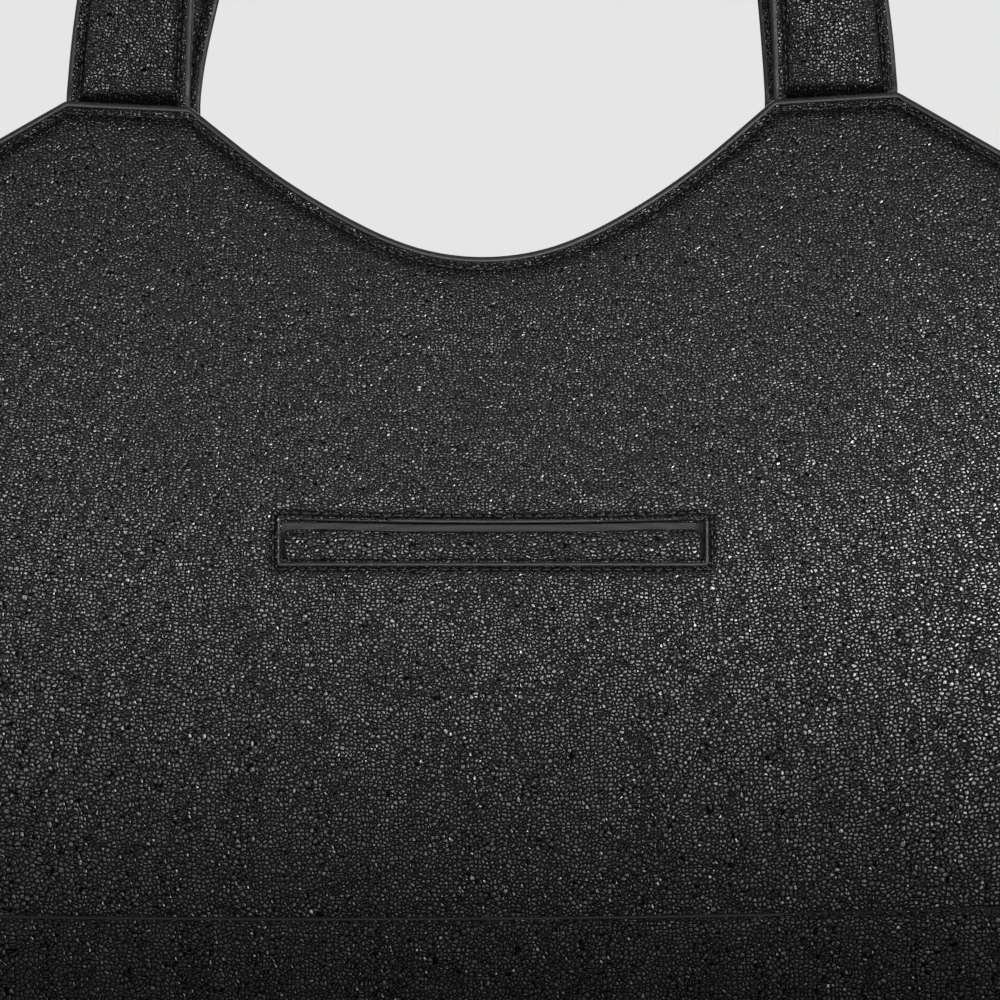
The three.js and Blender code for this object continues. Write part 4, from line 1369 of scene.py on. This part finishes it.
def zip_block(node, ending, low, high, material, width, segments):
    """A rounded block of the zip, from its low corner to its high one."""
    across, through, up = zip(low, high)
    points = [zip_point(x, y, z) for x in across for y in through for z in up]
    piece = make_piece(node + ending, points, BLOCK_FACES, replaces=[node])
    return rounded(paint(piece, material), width, segments)


def zip_row(end, side):
    near, far = sorted((side * 0.7, side * 9.7))
    low, high = (-ZIP_HALF - 4, 0.02, near), (ZIP_HALF + 4, 0.6, far)
    zip_block("zip_tape_" + end, "_cloth", low, high, TAPE, 0.15, 2)
    first = -ZIP_HALF + 3.2 + (0.5 * TOOTH_PITCH if side > 0 else 0)
    near, far = sorted((side * 0.1, side * 2.3))
    low, high = (first, -1.3, near), (first + 1.1, -0.02, far)
    tooth = zip_block("zip_teeth_" + end, "_metal", low, high, ZIP_METAL, 0.2, 1)
    array = tooth.modifiers.new("row", "ARRAY")
    array.use_relative_offset = False
    array.use_constant_offset = True
    array.constant_offset_displace = (TOOTH_PITCH * MM, 0, 0)
    array.count = int((2 * ZIP_HALF - 8) / TOOTH_PITCH)


def softened(node, body, material, width):
    """A copy of a solid part with its edges rounded."""
    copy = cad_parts[node].data.copy()
    shell = bmesh.new()
    shell.from_mesh(copy)
    bmesh.ops.remove_doubles(shell, verts=shell.verts, dist=1e-5)
    bmesh.ops.dissolve_limit(shell, angle_limit=math.radians(3), verts=shell.verts, edges=shell.edges)
    shell.to_mesh(copy)
    shell.free()
    copy.materials.clear()
    shade_smooth(copy)
    piece = fit(linked(node + "_finished", copy), body, [node])
    rounded(paint(piece, material), width).modifiers["rounding"].harden_normals = True


for end, way in (("lower", -1), ("upper", 1)):
    zip_row(end, way)
for end, _ in SIDES:
    softened("zip_stop_" + end, "bag", ZIP_METAL, 0.3)
softened("zip_slider", "zip_slider", ZIP_METAL, 0.28)
softened("zip_pull", "zip_pull", ZIP_METAL, 0.28)
print("zip made")

# %% [markdown]
# ## Metal parts
# Feet and magnets are turned shapes, so a Screw modifier spins their profiles. A ring is a bent
# wire: a curve with a round bevel. The loops that hold the rings are short straps of leather.

# %% Turned parts
TURN_STEPS = 40


def turned(node, name, outline, at):
    """Spins an outline of (radius, height), from top to bottom, and puts it in its place."""
    mesh = bpy.data.meshes.new(name)
    edges = [(k, k + 1) for k in range(len(outline) - 1)]
    mesh.from_pydata([(r * MM, 0, z * MM) for r, z in outline], edges, [])
    piece = linked(name, mesh)
    screw = piece.modifiers.new("turning", "SCREW")
    screw.steps = screw.render_steps = TURN_STEPS
    screw.use_merge_vertices = True
    screw.merge_threshold = 1e-6
    applied(piece)
    piece.data.transform(at)
    closed_up(piece.data)
    paint(fit(piece, "bag", [node]), GUNMETAL)


FOOT = (
    (0, 5.7), (6.6, 5.7), (7.2, 5.1), (7.2, 4.4), (6.9, 3.0), (6.0, 1.5), (4.4, 0.5), (2.4, 0.08), (0, 0),
)
for wall, _ in WALLS:
    for end, _ in SIDES:
        node = "foot_" + wall + "_" + end
        low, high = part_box(node)
        middle = ((low[0] + high[0]) / 2, (low[1] + high[1]) / 2, low[2])
        turned(node, node + "_metal", FOOT, Matrix.Translation(middle))

MAGNET_Z = SCOOP_Z - 18
SOCKET = (
    (0, 2.0), (3.0, 2.0), (3.2, 2.2), (3.3, 2.9), (3.6, 3.0), (7.2, 3.0), (8.2, 2.7), (9, 2.1), (9, 0),
    (0, 0),
)
STUD = (
    (0, 4.2), (1.9, 4.2), (2.3, 3.9), (2.4, 3.4), (2.5, 2.1), (3.2, 2.0), (8.3, 1.9), (9, 1.4), (9, 0),
    (0, 0),
)
for end, way in WALLS:
    y = way * (wall_depth(0, MAGNET_Z) - 7.7)
    turn = Matrix.Rotation(way * (math.pi / 2 + wall_lean(MAGNET_Z)), 4, "X")
    at = Matrix.Translation((0, y * MM, MAGNET_Z * MM)) @ turn
    turned("magnet_snap_" + end, "magnet_" + end + "_metal", SOCKET if way > 0 else STUD, at)
print("feet and magnets turned")

# %% Rings and their loops
RING_HALF = [(3, 0), (9, 0), (12.4, -1.1), (14.2, -3.6), (14.6, -6.6), (13, -12), (8.5, -17), (3, -19)]
RING_LEFT = [(-y, z) for y, z in RING_HALF[::-1]]
RING_OUTLINE = RING_LEFT[-2:] + RING_HALF + RING_LEFT[:-2]
RING_RADIUS = 1.8
for end, _ in SIDES:
    low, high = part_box("ring_" + end)
    centre_x = (low[0] + high[0]) / 2
    top = high[2] - RING_RADIUS * MM
    wire = bpy.data.curves.new("ring_" + end + "_wire", "CURVE")
    wire.dimensions = "3D"
    wire.bevel_depth = RING_RADIUS * MM
    wire.bevel_resolution = 5
    wire.resolution_u = 6
    line = wire.splines.new("BEZIER")
    line.bezier_points.add(len(RING_OUTLINE) - 1)
    for knot, (y, z) in zip(line.bezier_points, RING_OUTLINE):
        knot.co = (centre_x, y * MM, top + z * MM)
        knot.handle_left_type = knot.handle_right_type = "AUTO"
    line.use_cyclic_u = True
    bend = linked("bend", wire)
    graph = bpy.context.evaluated_depsgraph_get()
    ring = linked("ring_" + end + "_wire", bpy.data.meshes.new_from_object(bend.evaluated_get(graph)))
    bpy.data.objects.remove(bend)
    paint(fit(ring, "ring_" + end, ["ring_" + end]), GUNMETAL)
    softened("ring_loop_" + end, "bag", FINE_LEATHER, 0.5)
print("rings hung")

# %% [markdown]
# ## Parts that stay as they are
# Some solids are flat or sealed in, and their shape is already right. They only get a finish.

# %% Finishes for hidden solids
BOARD = woven("board", (0.03, 0.03, 0.031), (0.05, 0.05, 0.052), pitch=1.5)


def refinish(node, material):
    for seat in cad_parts[node].material_slots:
        seat.material = material


for node in ("zip_pouch_front", "zip_pouch_rear", "floor_lining"):
    refinish(node, LINING)

refinish("base_board", BOARD)
shown = [name for name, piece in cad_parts.items() if not piece.hide_render]
print("solids still shown:", shown)

# %% [markdown]
# ## Room and light
# The bag stands on a pale floor under a soft ceiling. Low, narrow boxes of light stand in front, the
# strongest to the right, so black leather shines more towards that side, and two more reach the
# handles. A small spread keeps them off the base, which stays dark. Three lights rim the back.

# %% Floor
FLOOR_SIZE = 6.0
FLOOR_DARK, FLOOR_LIGHT = (0.62, 0.62, 0.615), (0.66, 0.66, 0.655)
floor_mesh = bpy.data.meshes.new("floor")
corners = [(x * FLOOR_SIZE, y * FLOOR_SIZE, 0) for x, y in ((-1, -1), (1, -1), (1, 1), (-1, 1))]
floor_mesh.from_pydata(corners, [], [(0, 1, 2, 3)])
floor = linked("floor", floor_mesh)
where, finish = new_material("pale_floor")
cloud = where.node("TexNoise", Vector=where, Scale=2.0, Detail=3.0)
paint(floor, finish(Base_Color=cloud.shades(FLOOR_DARK, FLOOR_LIGHT), Roughness=cloud * 0.2 + 0.6))


# %% Lights
def softbox(name, at, towards, size, power, spread=180.0):
    """A rectangular light, in watts, with its spread in degrees."""
    light = bpy.data.lights.new(name, "AREA")
    light.shape = "RECTANGLE"
    light.size, light.size_y = size
    light.energy = power
    light.spread = math.radians(spread)
    lamp = linked(name, light)
    lamp.location = at
    lamp.rotation_euler = (Vector(towards) - Vector(at)).to_track_quat("-Z", "Y").to_euler()


BAG_MIDDLE = (0, 0, 0.2)
KEY_SIZE = (0.6, 0.14)
softbox("key_left", (-0.62, -1.12, 0.34), (-0.1, 0, 0.24), KEY_SIZE, 0.31, 17)
softbox("key_middle", (0.1, -1.25, 0.34), (0.02, 0, 0.24), KEY_SIZE, 0.36, 17)
softbox("key_right", (0.8, -1.1, 0.36), (0.14, 0, 0.24), (0.7, 0.16), 1.2, 19)
for end, way in SIDES:
    softbox("strap_key_" + end, (way * 0.45, -1.2, 0.54), (way * 0.17, 0, 0.49), KEY_SIZE, 0.6, 16)
softbox("ceiling", (0, 0, 4.0), (0, 0.001, 0), (8.0, 8.0), 75)
softbox("left", (-2.2, 0.7, 1.0), BAG_MIDDLE, (1.0, 1.0), 10)
softbox("right", (2.2, 0.7, 1.0), BAG_MIDDLE, (1.0, 1.0), 10)
softbox("back", (0.2, 2.4, 1.2), BAG_MIDDLE, (1.6, 1.0), 24)


ROOM_SEEN, ROOM_LIT = 0.79, 0.03


def studio():
    """A pale room that is seen brighter than it shines, as a room is behind a lit subject."""
    world = bpy.data.worlds.new("studio")
    world.use_nodes = True
    tree = world.node_tree
    path = tree.nodes.new("ShaderNodeLightPath")
    strength = tree.nodes.new("ShaderNodeMapRange")
    strength.inputs["To Min"].default_value = ROOM_LIT
    strength.inputs["To Max"].default_value = ROOM_SEEN
    background = tree.nodes["Background"]
    background.inputs["Color"].default_value = (1, 1, 0.996, 1)
    tree.links.new(path.outputs["Is Camera Ray"], strength.inputs["Value"])
    tree.links.new(strength.outputs["Result"], background.inputs["Strength"])
    bpy.context.scene.world = world


studio()
print("lights placed")
